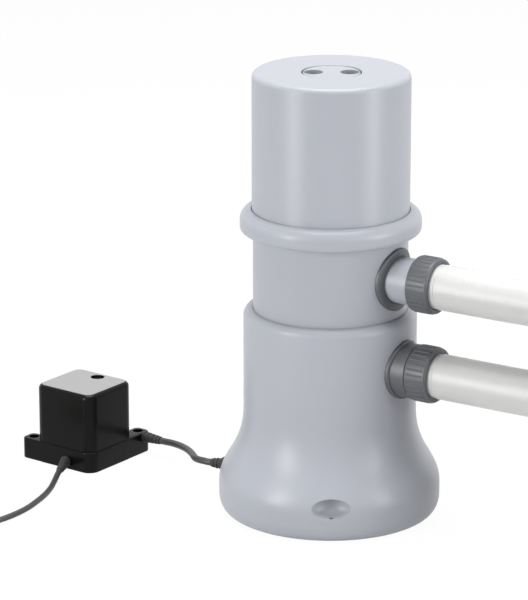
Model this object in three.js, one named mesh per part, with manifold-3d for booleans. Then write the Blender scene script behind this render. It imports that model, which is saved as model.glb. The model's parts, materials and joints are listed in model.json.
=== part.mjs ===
// Cartridge filter pump for an above-ground pool, with its two hoses and its
// low-voltage transformer. Millimetres, +Z up. The origin is the centre of the
// pump's round base on the floor. Ports and hoses leave towards +X and -Y.

import * as THREE from 'three';
import { mergeVertices } from 'three/addons/utils/BufferGeometryUtils.js';
import Module from 'manifold-3d';

const wasm = await Module();
wasm.setup();

// ---- driving dimensions -------------------------------------------------

const SIDES = 36; // flats round the large turned shells
const GAP = 0.3; // running or assembly gap between touching pieces
const FLOOR_GAP = 0.2; // under what lies loose on the floor
const WALL = 3; // general moulded wall
const CLEAR = 100; // size of a cutting block, past anything that it cuts

// outside of the pump
const COVER_RADIUS = 66;
const COVER_TOP = 380;
const COVER_CORNER = 4;
const BODY_RADIUS = 65;
const LOWER_RADIUS = 73;
const SHOULDER_TOP = 178;
const SHOULDER_ROUND = 7;
const FLARE_RADIUS = 94;
const FLARE_LOW = 24; // height where the flare starts to draw in
const FLARE_HIGH = 92; // height where it has become the straight wall
const FOOT_DEPTH = 8; // how far the rounded foot turns in
const FOOT_HEIGHT = 14;

// lock ring and the joint that it closes
const RING_RADIUS = 76;
const RING_HEIGHT = 18;
const RING_ROUND = 5;
const RIM_TOP = 254; // top of the filter housing's rim
const RIM_HEIGHT = 7;
const RIM_RADIUS = 71;
const COVER_FLANGE = 4;
const SEAL_RADIUS = 1.35;
const SEAL_CENTRE = 67.5;

// air valve in the cover
const DISH_RADIUS = 25;
const DISH_DEPTH = 8;
const VALVE_BAR = 13;
const VALVE_STEM = 5;
const VALVE_STEM_LENGTH = 14;
const VALVE_SEAL_RADIUS = 1.5;

// ports, measured out from the pump's axis
const PORT_ANGLE = -33; // degrees about Z
const UPPER_PORT = 212;
const LOWER_PORT = 135;
const SPOUT_RADIUS = 19.5;
const SPOUT_BORE = 13;
const SPOUT_END = 94.5;
const UPPER_FLANGE_RADIUS = 26.5;
const LOWER_FLANGE_RADIUS = 25;
const PORT_FLANGE = 3;
const LOWER_COLLAR_RADIUS = 23;
const LOWER_COLLAR_END = 85.5;
const GASKET = 2.4;
const NUT_RADIUS = 23.3;
const NUT_LENGTH = 20;
const NUT_END_WALL = 5;
const NUT_BORE = 20.1;
const NUT_BEVEL = 1.2;

// hoses
const HOSE_RADIUS = 19;
const CUFF_RADIUS = 18.7;
const CUFF_BORE = 14;
const CUFF_FLANGE = 3;
const CUFF_PROUD = 4; // how far a cuff stands out of its nut

// filter chamber and cartridge
const CHAMBER_FLOOR = 4;
const CHAMBER_LOW = 152;
const LEDGE_RADIUS = 62;
const LEDGE_HEIGHT = 8;
const CARTRIDGE_RADIUS = 54;
const CARTRIDGE_LENGTH = 203;
const CARTRIDGE_CAP = 4;
const CORE_RADIUS = 26.5;
const CORE_WALL = 2.5;
const PLEATS = 30;
const OUTLET_RADIUS = 16;
const OUTLET_WALL = 2.5;
const OUTLET_HEIGHT = 46;
const OUTLET_FLANGE = 24;

// pump chamber and motor
const VOLUTE_RADIUS = 42;
const VOLUTE_WALL = 4;
const VOLUTE_LOW = 110;
const VOLUTE_TOP = 146;
const COVER_PLATE = 3.7;
const IMPELLER_RADIUS = 30;
const VANES = 6;
const SHAFT_RADIUS = 3;
const MAGNET_RADIUS = 13;
const MAGNET_LENGTH = 38;
const WELL_RADIUS = 17;
const WELL_LOW = 56;
const WELL_WALL = 2;
const CAN_RADIUS = 44;
const STATOR_RADIUS = 38;
const STATOR_LENGTH = 30;
const STATOR_LOW = 70;
const STATOR_RING = 8;
const POLE_WIDTH = 10;
const COIL_DEPTH = 7;
const COIL_BUILD = 4;
const BASE_THICK = 4;
const BASE_RADIUS = 80;
const BASE_SCREW_RADIUS = 74;
const BASE_SCREWS = 3;
const SCREW_HEAD = 4;
const SCREW_SHANK = 1.9;
const SCREW_LENGTH = 15;
const BASE_BOSS = 6.5;
const BASE_BOSS_TOP = 20;

// screw-down niches round the foot, and the motor lead's gland
const NICHES = 2;
const NICHE_ANGLE = -90;
const NICHE_RADIUS = 17;
const NICHE_CENTRE = 101;
const NICHE_HEIGHT = 34;
const NICHE_FLOOR = 22;
const NICHE_HOLE = 91.4; // the screw hole's distance from the pump's axis
const GLAND_ANGLE = 159;
const GLAND_HEIGHT = 25;
const GLAND_RADIUS = 6.5;
const GLAND_LENGTH = 10;
const GLAND_NECK = 4.7;
const LEAD_RADIUS = 3;

// transformer, in a frame of its own: X along its long side
const BOX = { x: -212, y: 118, turn: 53.13 };
const BOX_LENGTH = 60;
const BOX_WIDTH = 57;
const BOX_HEIGHT = 71;
const BOX_CORNER = 10;
const BOX_WALL = 2.5;
const BOX_EDGE = 4;
const TRAY_HEIGHT = 12;
const LUG = 16;
const LUG_HEIGHT = 19;
const LUG_REACH = 21;
const LUG_HOLE = 2.3;
const CORE_BLOCK = { x: 46, y: 20, z: 40 };
const CORE_LEG = 14;
const CORE_WINDOW = { x: 9, z: 26 };
const WINDING_BUILD = 8.2;
const BOX_SCREW_X = 22;
const BOX_SCREW_Y = 20;
const BOX_BOSS = 4.5;
const RECESS = { x: 20, y: 3, radius: 6.5, depth: 1.5 }; // round dimple in the top

// mains lead and plug
const MAINS_RADIUS = 2.5;
const RELIEF_RADIUS = 5.5;
const RELIEF_LENGTH = 22;
const MAINS_EXIT = [-230, 94, 7];
const MAINS_HEADING = [-0.21, -0.97, -0.07];
const COIL_CENTRE = [-330, -94.6];
const COIL_TURN_RADIUS = 27.65; // middle of the turns
const COIL_COLUMNS = 4;
const COIL_LAYERS = 2;
const COIL_PITCH = 5.1;
const PLUG = { x: -374, y: 10, z: 12, length: 34, width: 26, height: 23, corner: 7, relief: 14.7 };
const BLADE = { length: 17, width: 1.6, height: 6.4, apart: 12.7, above: 3 };

// ---- routes of the free cords, as laid ----------------------------------

const LOW_VOLTAGE_ROUTE = [
  [-101.1, 38.8, 25], [-104.8, 40.6, 25], [-108.2, 43.1, 25], [-111.2, 46.1, 24.6], [-113.5, 49.6, 24.1],
  [-115.4, 54.2, 23.5], [-116.4, 59.1, 22.9], [-117.9, 68, 21.8], [-119.9, 78, 20.5], [-122.9, 88.6, 19.2],
  [-127, 99, 17.9], [-132.3, 109, 16.6], [-138.7, 117.6, 15.5], [-142.9, 121.2, 15.1], [-147.1, 124.3, 15],
];

const MAINS_ROUTE = [
  [-234.7, 72.3, 5.4], [-236.3, 64, 4.1], [-238, 52, 3], [-240.2, 36, 2.7], [-243.8, 20, 2.7],
  [-249.6, 3, 2.7], [-257.4, -15, 2.7], [-267.6, -31, 2.7], [-279.4, -44.2, 2.7], [-292, -53, 2.7],
  [-301, -57.2, 2.7], [-310.6, -59.1, 2.7],
];

const PLUG_ROUTE = [
  [-349.4, -59.1, 7.8], [-354, -58.3, 7.9], [-360.4, -56.4, 8.2], [-367.6, -51.4, 9], [-372.3, -44, 10],
  [-374, -35.6, 11], [-374, -25, 11.6], [-374, -15, 12], [-374, -5, 12],
];

// Each hose runs straight out from its port, comes down to the floor and ends
// in one round turn. The lists are [distance along the plan, height].
const HOSE_TURN = 209;
const HOSE_TANGENT = 353;
const UPPER_HOSE_ROUTE = [
  [110.1, 212], [140, 212], [172, 212], [205, 212], [260, 206.1], [315, 189.4], [370, 164.4],
  [425, 134.9], [480, 105.3], [535, 80.3], [590, 63.6], [645, 57.8], [700, 57.8], [760, 57.8],
  [820, 57.8], [880, 57.8], [940, 57.8], [1000, 57.8], [1060, 57.8], [1120, 57.8], [1180, 57.8],
  [1240, 57.8], [1300, 57.8], [1360, 57.8], [1420, 59], [1480, 63.5], [1535, 69], [1576, 70.9],
];
const LOWER_HOSE_ROUTE = [
  [110.1, 135], [140, 135], [172, 135], [205, 135], [260, 130.6], [315, 118], [370, 99.3],
  [425, 77.1], [480, 54.9], [535, 36.2], [590, 23.6], [645, 19.2], [700, 19.2], [760, 19.2],
  [820, 19.2], [880, 19.2], [940, 19.2], [1000, 19.2], [1060, 19.2], [1120, 19.2], [1180, 19.2],
  [1240, 19.2], [1300, 19.2], [1360, 19.2], [1420, 19.4], [1480, 20.8], [1540, 22.8], [1591, 23.6],
];

// ---- colours ------------------------------------------------------------

const finish = (color, roughness = 0.45, metalness = 0) => ({ color, roughness, metalness });
const GREY = finish('#b9bcc8');
const DARK_GREY = finish('#60636b', 0.5);
const HOSE_WHITE = finish('#e6e6e3', 0.5);
const BLACK = finish('#1b1b1a', 0.5);
const RUBBER = finish('#232323', 0.8);
const STEEL = finish('#b8babd', 0.3, 1);
const COPPER = finish('#b8693a', 0.4, 1);
const BRASS = finish('#c9a75a', 0.3, 1);
const PAPER = finish('#e9ecef', 0.9);
const INNER_BLUE = finish('#3c6ea5', 0.5);

// ---- solids -------------------------------------------------------------

// One closed body: shared vertices, no folded triangles, faces outwards.
function closed(geometry) {
  geometry.deleteAttribute('normal');
  geometry.deleteAttribute('uv');
  const merged = mergeVertices(geometry, 1e-4);
  const place = merged.attributes.position;
  const corners = [];
  let volume = 0;
  const [a, b, c] = [new THREE.Vector3(), new THREE.Vector3(), new THREE.Vector3()];
  for (let i = 0; i < merged.index.count; i += 3) {
    const [p, q, r] = [0, 1, 2].map((k) => merged.index.getX(i + k));
    if (p === q || q === r || r === p) continue;
    corners.push(p, q, r);
    a.fromBufferAttribute(place, p);
    b.fromBufferAttribute(place, q);
    c.fromBufferAttribute(place, r);
    volume += a.dot(b.cross(c));
  }
  if (volume < 0) corners.reverse();
  merged.setIndex(corners);
  return merged;
}

function solid(geometry) {
  const shape = closed(geometry);
  const mesh = new wasm.Mesh({
    numProp: 3,
    vertProperties: Float32Array.from(shape.attributes.position.array),
    triVerts: Uint32Array.from(shape.index.array),
  });
  return new wasm.Manifold(mesh);
}

function geometryOf(manifold) {
  const mesh = manifold.getMesh();
  const geometry = new THREE.BufferGeometry();
  geometry.setAttribute('position', new THREE.BufferAttribute(mesh.vertProperties, 3));
  geometry.setIndex(new THREE.BufferAttribute(mesh.triVerts, 1));
  return geometry;
}

const degrees = THREE.MathUtils.degToRad;

// Turned shape about Z from [radius, height] points.
function turned(points, sides = 40) {
  const profile = points.map(([r, z]) => new THREE.Vector2(r, z));
  return new THREE.LatheGeometry(profile, sides).rotateX(Math.PI / 2);
}

// A ring or sleeve about Z; inner may be 0 for a plain disc.
function ring(inner, outer, low, high, sides = 24) {
  if (inner === 0) return turned([[0, low], [outer, low], [outer, high], [0, high]], sides);
  return turned([[inner, low], [outer, low], [outer, high], [inner, high], [inner, low]], sides);
}

function torus(radius, section, height, sides = 36) {
  return new THREE.TorusGeometry(radius, section, 5, sides).translate(0, 0, height);
}

function cone(bottomRadius, topRadius, low, high, sides = 16) {
  return turned([[0, low], [bottomRadius, low], [topRadius, high], [0, high]], sides);
}

function block(x, y, z, low = 0) {
  return new THREE.BoxGeometry(x, y, z).translate(0, 0, low + z / 2);
}

// From standing on Z to lying along X.
const alongX = (geometry) => geometry.rotateY(Math.PI / 2);

function roundedBox(x, y, corner, low, high, steps = 3) {
  const shape = new THREE.Shape();
  const [w, d] = [x / 2 - corner, y / 2 - corner];
  shape.absarc(w, d, corner, 0, Math.PI / 2, false);
  shape.absarc(-w, d, corner, Math.PI / 2, Math.PI, false);
  shape.absarc(-w, -d, corner, Math.PI, Math.PI * 1.5, false);
  shape.absarc(w, -d, corner, Math.PI * 1.5, Math.PI * 2, false);
  const options = { depth: high - low, bevelEnabled: false, curveSegments: steps };
  return new THREE.ExtrudeGeometry(shape, options).translate(0, 0, low);
}

function tube(points, radius, steps, sides = 12) {
  const section = new THREE.Shape();
  for (let i = 0; i < sides; i += 1) {
    const turn = (i / sides) * Math.PI * 2;
    const [x, y] = [radius * Math.cos(turn), radius * Math.sin(turn)];
    if (i === 0) section.moveTo(x, y);
    else section.lineTo(x, y);
  }
  section.closePath();
  const path = new THREE.CatmullRomCurve3(points.map((p) => new THREE.Vector3(...p)));
  return new THREE.ExtrudeGeometry(section, { steps, bevelEnabled: false, extrudePath: path });
}

// ---- assembly -----------------------------------------------------------

const assembly = new THREE.Group();
const pump = new THREE.Group();
pump.rotation.z = degrees(PORT_ANGLE); // the ports lie along the pump's own X
assembly.add(pump);

function add(parent, name, shape, look) {
  const geometry = shape.isBufferGeometry ? closed(shape) : closed(geometryOf(shape));
  const mesh = new THREE.Mesh(geometry, new THREE.MeshStandardMaterial(look));
  mesh.name = name;
  parent.add(mesh);
  return mesh;
}

// Angle about the pump's axis, from the assembly's frame to the pump's own.
const own = (angle) => degrees(angle - PORT_ANGLE);

// ---- lower housing and base ---------------------------------------------

// Outside of the bell foot, from the floor up to the straight wall, drawn in
// by `inset` for the inside.
function flare(inset, steps) {
  const radius = FLARE_RADIUS - inset;
  const foot = new THREE.EllipseCurve(
    radius - FOOT_DEPTH, FOOT_HEIGHT, FOOT_DEPTH, FOOT_HEIGHT - GAP - inset, -Math.PI / 2, 0,
  );
  const rise = FLARE_HIGH - FLARE_LOW;
  const straight = LOWER_RADIUS - inset;
  const sweep = new THREE.CubicBezierCurve(
    new THREE.Vector2(radius, FLARE_LOW),
    new THREE.Vector2(radius, FLARE_LOW + rise * 0.32),
    new THREE.Vector2(straight, FLARE_LOW + rise * 0.41),
    new THREE.Vector2(straight, FLARE_HIGH),
  );
  return [...foot.getPoints(3), ...sweep.getPoints(steps)].map((p) => [p.x, p.y]);
}

function shoulder() {
  const centre = [LOWER_RADIUS - SHOULDER_ROUND, SHOULDER_TOP - SHOULDER_ROUND];
  const arc = new THREE.EllipseCurve(...centre, SHOULDER_ROUND, SHOULDER_ROUND, 0, Math.PI / 2);
  return arc.getPoints(3).map((p) => [p.x, p.y]);
}

// Cylinder along the pump's own X, through a port.
function portBar(radius, from, to, height, sides = 24) {
  return solid(alongX(ring(0, radius, from, to, sides)).translate(0, 0, height));
}

function lowerHousing() {
  const ledgeLow = CHAMBER_LOW - GAP - LEDGE_HEIGHT;
  const inside = flare(WALL, 4).reverse();
  const outside = flare(0, 6);
  const wallIn = LOWER_RADIUS - WALL;
  const outline = [
    ...outside, ...shoulder(), [BODY_RADIUS + GAP, SHOULDER_TOP], [BODY_RADIUS + GAP, CHAMBER_LOW - GAP],
    [LEDGE_RADIUS, CHAMBER_LOW - GAP], [LEDGE_RADIUS, ledgeLow],
    [wallIn, ledgeLow - LEDGE_HEIGHT], ...inside,
    [BASE_RADIUS + GAP, BASE_THICK + WALL], [BASE_RADIUS + GAP, GAP], outside[0],
  ];
  let shell = solid(turned(outline, SIDES));
  const full = solid(turned([[0, GAP], ...outside, ...shoulder(), [0, SHOULDER_TOP]], SIDES));
  for (let i = 0; i < NICHES; i += 1) {
    const turn = own(NICHE_ANGLE + (i * 360) / NICHES);
    const [x, y] = [NICHE_CENTRE * Math.cos(turn), NICHE_CENTRE * Math.sin(turn)];
    const pocket = (radius) => new THREE.SphereGeometry(radius, 10, 6).translate(x, y, NICHE_HEIGHT);
    const lining = solid(pocket(NICHE_RADIUS + WALL)).intersect(full);
    const above = solid(block(CLEAR, CLEAR, CLEAR, NICHE_FLOOR).translate(x, y, 0));
    const hole = ring(0, SCREW_SHANK + GAP, -1, NICHE_FLOOR + 1, 12);
    hole.translate(NICHE_HOLE * Math.cos(turn), NICHE_HOLE * Math.sin(turn), 0);
    shell = shell.add(lining).subtract(solid(pocket(NICHE_RADIUS)).intersect(above)).subtract(solid(hole));
  }
  for (let i = 0; i < BASE_SCREWS; i += 1) {
    const [x, y] = baseScrewPlace(i);
    const boss = ring(0, BASE_BOSS, BASE_THICK + GAP, BASE_BOSS_TOP, 12).translate(x, y, 0);
    const bore = ring(0, SCREW_SHANK + GAP, 0, BASE_BOSS_TOP - WALL, 8).translate(x, y, 0);
    shell = shell.add(solid(boss)).subtract(solid(bore));
  }
  const inner = wallIn - 1;
  const spout = portBar(SPOUT_RADIUS, inner, SPOUT_END, LOWER_PORT);
  const bore = portBar(SPOUT_BORE, inner - 10, SPOUT_END + 1, LOWER_PORT, 24);
  const turn = own(GLAND_ANGLE);
  const passage = portBar(SPOUT_BORE + WALL + GAP, LEDGE_RADIUS - 10, inner - 0.5, LOWER_PORT);
  const lead = alongX(ring(0, GLAND_NECK + GAP, LOWER_RADIUS - WALL, FLARE_RADIUS + FLARE_LOW, 16));
  lead.rotateZ(turn).translate(0, 0, GLAND_HEIGHT);
  return shell.subtract(passage).add(spout).subtract(bore).subtract(solid(lead));
}

function baseScrewPlace(i) {
  const turn = own(NICHE_ANGLE + 60 + (i * 360) / BASE_SCREWS);
  return [BASE_SCREW_RADIUS * Math.cos(turn), BASE_SCREW_RADIUS * Math.sin(turn)];
}

add(pump, 'lower_housing', lowerHousing(), GREY);

function basePlate() {
  let plate = solid(ring(0, BASE_RADIUS, 0, BASE_THICK, 40));
  for (let i = 0; i < BASE_SCREWS; i += 1) {
    const [x, y] = baseScrewPlace(i);
    const sink = ring(0, SCREW_HEAD + GAP, -1, 2.6, 12).translate(x, y, 0);
    const bore = ring(0, SCREW_SHANK + GAP, -1, BASE_THICK + 1, 8).translate(x, y, 0);
    plate = plate.subtract(solid(sink)).subtract(solid(bore));
  }
  return plate;
}

add(pump, 'base_plate', basePlate(), GREY);
for (let i = 0; i < BASE_SCREWS; i += 1) {
  const [x, y] = baseScrewPlace(i);
  const screw = turned([
    [0, 0.4], [SCREW_HEAD, 0.4], [SCREW_HEAD, 2.3], [SCREW_SHANK, 2.6],
    [SCREW_SHANK, SCREW_LENGTH], [0, SCREW_LENGTH],
  ], 12);
  add(pump, `base_screw_${i + 1}`, screw.translate(x, y, 0), STEEL);
}

// ---- filter housing, cover, lock ring and air valve ---------------------

const RING_TOP = RIM_TOP + GAP + COVER_FLANGE + GAP + RING_ROUND;
const RING_LOW = RING_TOP - RING_HEIGHT;

function filterHousing() {
  const inner = BODY_RADIUS - WALL - 0.5;
  const groove = 2 * (SEAL_RADIUS + GAP / 2);
  const outline = [
    [0, CHAMBER_LOW], [BODY_RADIUS, CHAMBER_LOW], [BODY_RADIUS, RIM_TOP - RIM_HEIGHT],
    [RIM_RADIUS, RIM_TOP - RIM_HEIGHT], [RIM_RADIUS, RIM_TOP],
    [SEAL_CENTRE + groove / 2, RIM_TOP], [SEAL_CENTRE + groove / 2, RIM_TOP - groove],
    [SEAL_CENTRE - groove / 2, RIM_TOP - groove], [SEAL_CENTRE - groove / 2, RIM_TOP],
    [inner, RIM_TOP], [inner, CHAMBER_LOW + CHAMBER_FLOOR], [0, CHAMBER_LOW + CHAMBER_FLOOR],
  ];
  const hole = solid(ring(0, OUTLET_RADIUS + GAP, CHAMBER_LOW - 1, CHAMBER_LOW + CHAMBER_FLOOR + 1));
  const spout = portBar(SPOUT_RADIUS, inner + 0.5, SPOUT_END, UPPER_PORT);
  const outerOnly = solid(ring(inner, SPOUT_END + 10, UPPER_PORT - 30, UPPER_PORT + 30, SIDES));
  const bore = portBar(SPOUT_BORE, inner - 10, SPOUT_END + 1, UPPER_PORT, 24);
  return solid(turned(outline, SIDES)).subtract(hole).add(spout.intersect(outerOnly)).subtract(bore);
}

add(pump, 'filter_housing', filterHousing(), GREY);
add(pump, 'cover_seal', torus(SEAL_CENTRE, SEAL_RADIUS, RIM_TOP - SEAL_RADIUS, SIDES), RUBBER);

const COVER_LOW = RIM_TOP + GAP;
const DISH_FLOOR = COVER_TOP - DISH_DEPTH;

function filterCover() {
  const inner = COVER_RADIUS - WALL;
  const dishOut = DISH_RADIUS + WALL;
  const corner = new THREE.EllipseCurve(
    COVER_RADIUS - COVER_CORNER, COVER_TOP - COVER_CORNER, COVER_CORNER, COVER_CORNER, 0, Math.PI / 2,
  );
  const outline = [
    [inner, COVER_LOW], [RIM_RADIUS, COVER_LOW], [RIM_RADIUS, COVER_LOW + COVER_FLANGE],
    [COVER_RADIUS, COVER_LOW + COVER_FLANGE], ...corner.getPoints(3).map((p) => [p.x, p.y]),
    [DISH_RADIUS, COVER_TOP], [DISH_RADIUS, DISH_FLOOR], [VALVE_STEM + GAP, DISH_FLOOR],
    [VALVE_STEM + GAP, DISH_FLOOR - WALL], [dishOut, DISH_FLOOR - WALL], [dishOut, COVER_TOP - WALL],
    [inner, COVER_TOP - WALL], [inner, COVER_LOW],
  ];
  return turned(outline, SIDES);
}

add(pump, 'filter_cover', filterCover(), GREY);

function lockRing() {
  const lip = COVER_RADIUS + GAP + 0.2;
  const round = new THREE.EllipseCurve(
    RING_RADIUS - RING_ROUND, RING_TOP - RING_ROUND, RING_ROUND, RING_ROUND, 0, Math.PI / 2,
  );
  const under = COVER_LOW + COVER_FLANGE + GAP;
  const skirt = RIM_RADIUS + GAP + 0.2;
  const outline = [
    [skirt, RING_LOW], [RING_RADIUS - 1, RING_LOW], [RING_RADIUS, RING_LOW + 1],
    ...round.getPoints(4).map((p) => [p.x, p.y]),
    [lip, RING_TOP], [lip, under], [skirt, under], [skirt, RING_LOW],
  ];
  return turned(outline, SIDES);
}

add(pump, 'lock_ring', lockRing(), GREY);

function airValve() {
  const low = DISH_FLOOR + GAP;
  const disc = solid(ring(0, DISH_RADIUS - 1, low, low + 2, 28));
  const bar = solid(roundedBox(VALVE_BAR, 2 * (DISH_RADIUS - 2), 4, low + 1, COVER_TOP - 0.5));
  const end = DISH_FLOOR - VALVE_STEM_LENGTH;
  const stem = solid(ring(0, VALVE_STEM, end, low + 1, 20));
  const head = solid(ring(0, VALVE_STEM + 2, end - 2, end, 20));
  return disc.add(bar).add(stem).add(head).rotate([0, 0, -PORT_ANGLE]);
}

add(pump, 'air_valve', airValve(), GREY);
const valveSealHeight = DISH_FLOOR - WALL - GAP - VALVE_SEAL_RADIUS;
const valveSeal = torus(VALVE_STEM + GAP + VALVE_SEAL_RADIUS, VALVE_SEAL_RADIUS, valveSealHeight, 16);
add(pump, 'air_valve_seal', valveSeal, RUBBER);

// ---- port flanges, nuts, gaskets and cuffs ------------------------------

function portFlange(host, height, radius, collarEnd) {
  const outside = solid(ring(0, host + GAP, height - 40, height + 40, SIDES));
  const limit = solid(ring(0, host + GAP + PORT_FLANGE, height - 40, height + 40, SIDES));
  let flange = portBar(radius, host - 20, host + 20, height).intersect(limit);
  if (collarEnd) flange = flange.add(portBar(LOWER_COLLAR_RADIUS, host - 20, collarEnd, height));
  return flange.subtract(outside).subtract(portBar(SPOUT_RADIUS + GAP, 0, SPOUT_END, height));
}

add(pump, 'upper_port_flange', portFlange(BODY_RADIUS, UPPER_PORT, UPPER_FLANGE_RADIUS), DARK_GREY);
add(pump, 'lower_port_flange',
  portFlange(LOWER_RADIUS, LOWER_PORT, LOWER_FLANGE_RADIUS, LOWER_COLLAR_END), DARK_GREY);

const NUT_END = SPOUT_END + 2 * GAP + GASKET + CUFF_FLANGE + GAP + NUT_END_WALL;
const CUFF_START = SPOUT_END + 2 * GAP + GASKET;

// A nut, its gasket and the hose's cuff, along X from the end of a spout.
function nutGeometry() {
  const hole = CUFF_RADIUS + GAP + 0.1;
  const low = NUT_END - NUT_LENGTH;
  const wall = NUT_END - NUT_END_WALL;
  return alongX(turned([
    [NUT_BORE, low], [NUT_RADIUS, low], [NUT_RADIUS, NUT_END - NUT_BEVEL], [NUT_RADIUS - NUT_BEVEL, NUT_END],
    [hole, NUT_END], [hole, wall], [NUT_BORE, wall], [NUT_BORE, low],
  ], 24));
}

function cuffGeometry() {
  const end = NUT_END + CUFF_PROUD;
  return alongX(turned([
    [CUFF_BORE, CUFF_START], [NUT_BORE - GAP, CUFF_START], [NUT_BORE - GAP, CUFF_START + CUFF_FLANGE],
    [CUFF_RADIUS, CUFF_START + CUFF_FLANGE], [CUFF_RADIUS, end], [CUFF_BORE, end], [CUFF_BORE, CUFF_START],
  ], 20));
}

function gasketGeometry() {
  const start = SPOUT_END + GAP;
  return alongX(ring(CUFF_BORE, SPOUT_RADIUS, start, start + GASKET, 20));
}

for (const [side, height] of [['upper', UPPER_PORT], ['lower', LOWER_PORT]]) {
  add(pump, `${side}_hose_nut`, nutGeometry().translate(0, 0, height), DARK_GREY);
  add(pump, `${side}_port_gasket`, gasketGeometry().translate(0, 0, height), RUBBER);
  add(pump, `${side}_hose_cuff`, cuffGeometry().translate(0, 0, height), HOSE_WHITE);
}

// ---- hoses --------------------------------------------------------------

// Place on the plan, in the pump's own frame, at a distance along a hose.
function hosePlan(distance) {
  if (distance <= HOSE_TANGENT) return [distance, 0];
  const turn = (distance - HOSE_TANGENT) / HOSE_TURN;
  return [HOSE_TANGENT + HOSE_TURN * Math.sin(turn), HOSE_TURN * (1 - Math.cos(turn))];
}

for (const [side, route] of [['upper', UPPER_HOSE_ROUTE], ['lower', LOWER_HOSE_ROUTE]]) {
  const points = route.map(([distance, height]) => [...hosePlan(distance), height]);
  add(pump, `${side}_hose`, tube(points, HOSE_RADIUS, 27, 10), HOSE_WHITE);
  const path = new THREE.CatmullRomCurve3(points.map((p) => new THREE.Vector3(...p)));
  const back = path.getTangentAt(1).negate();
  const end = new THREE.Group();
  end.position.copy(path.getPoint(1));
  end.quaternion.setFromUnitVectors(new THREE.Vector3(1, 0, 0), back);
  pump.add(end);
  const reach = NUT_END + CUFF_PROUD + GAP;
  add(end, `${side}_far_cuff`, cuffGeometry().translate(-reach, 0, 0), HOSE_WHITE);
  add(end, `${side}_far_nut`, nutGeometry().translate(-reach, 0, 0), DARK_GREY);
}

// ---- cartridge ----------------------------------------------------------

const CARTRIDGE_LOW = CHAMBER_LOW + CHAMBER_FLOOR + 2 * GAP + CARTRIDGE_CAP;
const CARTRIDGE_TOP = CARTRIDGE_LOW + CARTRIDGE_LENGTH;
const OUTLET_LOW = CHAMBER_LOW - 2;

function pleats() {
  const shape = new THREE.Shape();
  const outer = CARTRIDGE_RADIUS - 1;
  const inner = CORE_RADIUS + 8;
  for (let i = 0; i < PLEATS * 2; i += 1) {
    const turn = (i / (PLEATS * 2)) * Math.PI * 2;
    const radius = i % 2 ? inner : outer;
    const [x, y] = [radius * Math.cos(turn), radius * Math.sin(turn)];
    if (i === 0) shape.moveTo(x, y);
    else shape.lineTo(x, y);
  }
  shape.closePath();
  const hole = new THREE.Path().absarc(0, 0, CORE_RADIUS + GAP, 0, Math.PI * 2);
  shape.holes.push(hole);
  const depth = CARTRIDGE_LENGTH - 2 * (CARTRIDGE_CAP + GAP);
  const options = { depth, bevelEnabled: false, curveSegments: 20 };
  return new THREE.ExtrudeGeometry(shape, options).translate(0, 0, CARTRIDGE_LOW + CARTRIDGE_CAP + GAP);
}

function cartridgeCore() {
  const low = CARTRIDGE_LOW + CARTRIDGE_CAP + GAP;
  const high = CARTRIDGE_TOP - CARTRIDGE_CAP - GAP;
  let core = solid(ring(CORE_RADIUS - CORE_WALL, CORE_RADIUS, low, high, 18));
  for (let row = 1; row <= 2; row += 1) {
    for (let i = 0; i < 3; i += 1) {
      const slot = block(4, CORE_RADIUS * 2 + 4, 30, low + (row * (high - low)) / 3 - 15);
      core = core.subtract(solid(slot.rotateZ((i * Math.PI) / 3)));
    }
  }
  return core;
}

function outletPipe() {
  const top = CHAMBER_LOW + OUTLET_HEIGHT;
  const inner = OUTLET_RADIUS - OUTLET_WALL;
  const seat = CHAMBER_LOW + CHAMBER_FLOOR + GAP;
  return turned([
    [inner, OUTLET_LOW], [OUTLET_RADIUS, OUTLET_LOW], [OUTLET_RADIUS, seat], [OUTLET_FLANGE - 4, seat],
    [OUTLET_FLANGE - 4, CARTRIDGE_LOW + CARTRIDGE_CAP], [OUTLET_RADIUS, CARTRIDGE_LOW + CARTRIDGE_CAP + 2],
    [OUTLET_RADIUS, top], [inner, top], [inner, OUTLET_LOW],
  ], 28);
}

const capHole = OUTLET_FLANGE - 4 + GAP;
add(pump, 'outlet_pipe', outletPipe(), GREY);
add(pump, 'cartridge_bottom_cap',
  ring(capHole, CARTRIDGE_RADIUS, CARTRIDGE_LOW, CARTRIDGE_LOW + CARTRIDGE_CAP, 28), INNER_BLUE);
add(pump, 'cartridge_core', cartridgeCore(), finish('#e4e5e8'));
add(pump, 'cartridge_pleats', pleats(), PAPER);
add(pump, 'cartridge_top_cap',
  ring(capHole, CARTRIDGE_RADIUS, CARTRIDGE_TOP - CARTRIDGE_CAP, CARTRIDGE_TOP, 28), INNER_BLUE);

// ---- pump chamber, rotor and motor --------------------------------------

function pumpChamber() {
  const inner = VOLUTE_RADIUS - VOLUTE_WALL;
  const bowl = solid(ring(inner, VOLUTE_RADIUS, VOLUTE_LOW, VOLUTE_TOP, 28));
  const reach = LOWER_RADIUS - WALL - 2 * GAP - 1.6;
  const pipe = portBar(SPOUT_BORE + WALL, inner + 1, reach, LOWER_PORT);
  const bore = portBar(SPOUT_BORE, inner - 8, reach + 1, LOWER_PORT);
  const coverSeat = solid(ring(0, VOLUTE_RADIUS + GAP, VOLUTE_TOP, VOLUTE_TOP + 10, 28));
  return bowl.add(pipe).subtract(coverSeat).subtract(bore);
}

const WELL_FLANGE = 3.4;
const wellTop = VOLUTE_LOW - GAP;

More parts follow.
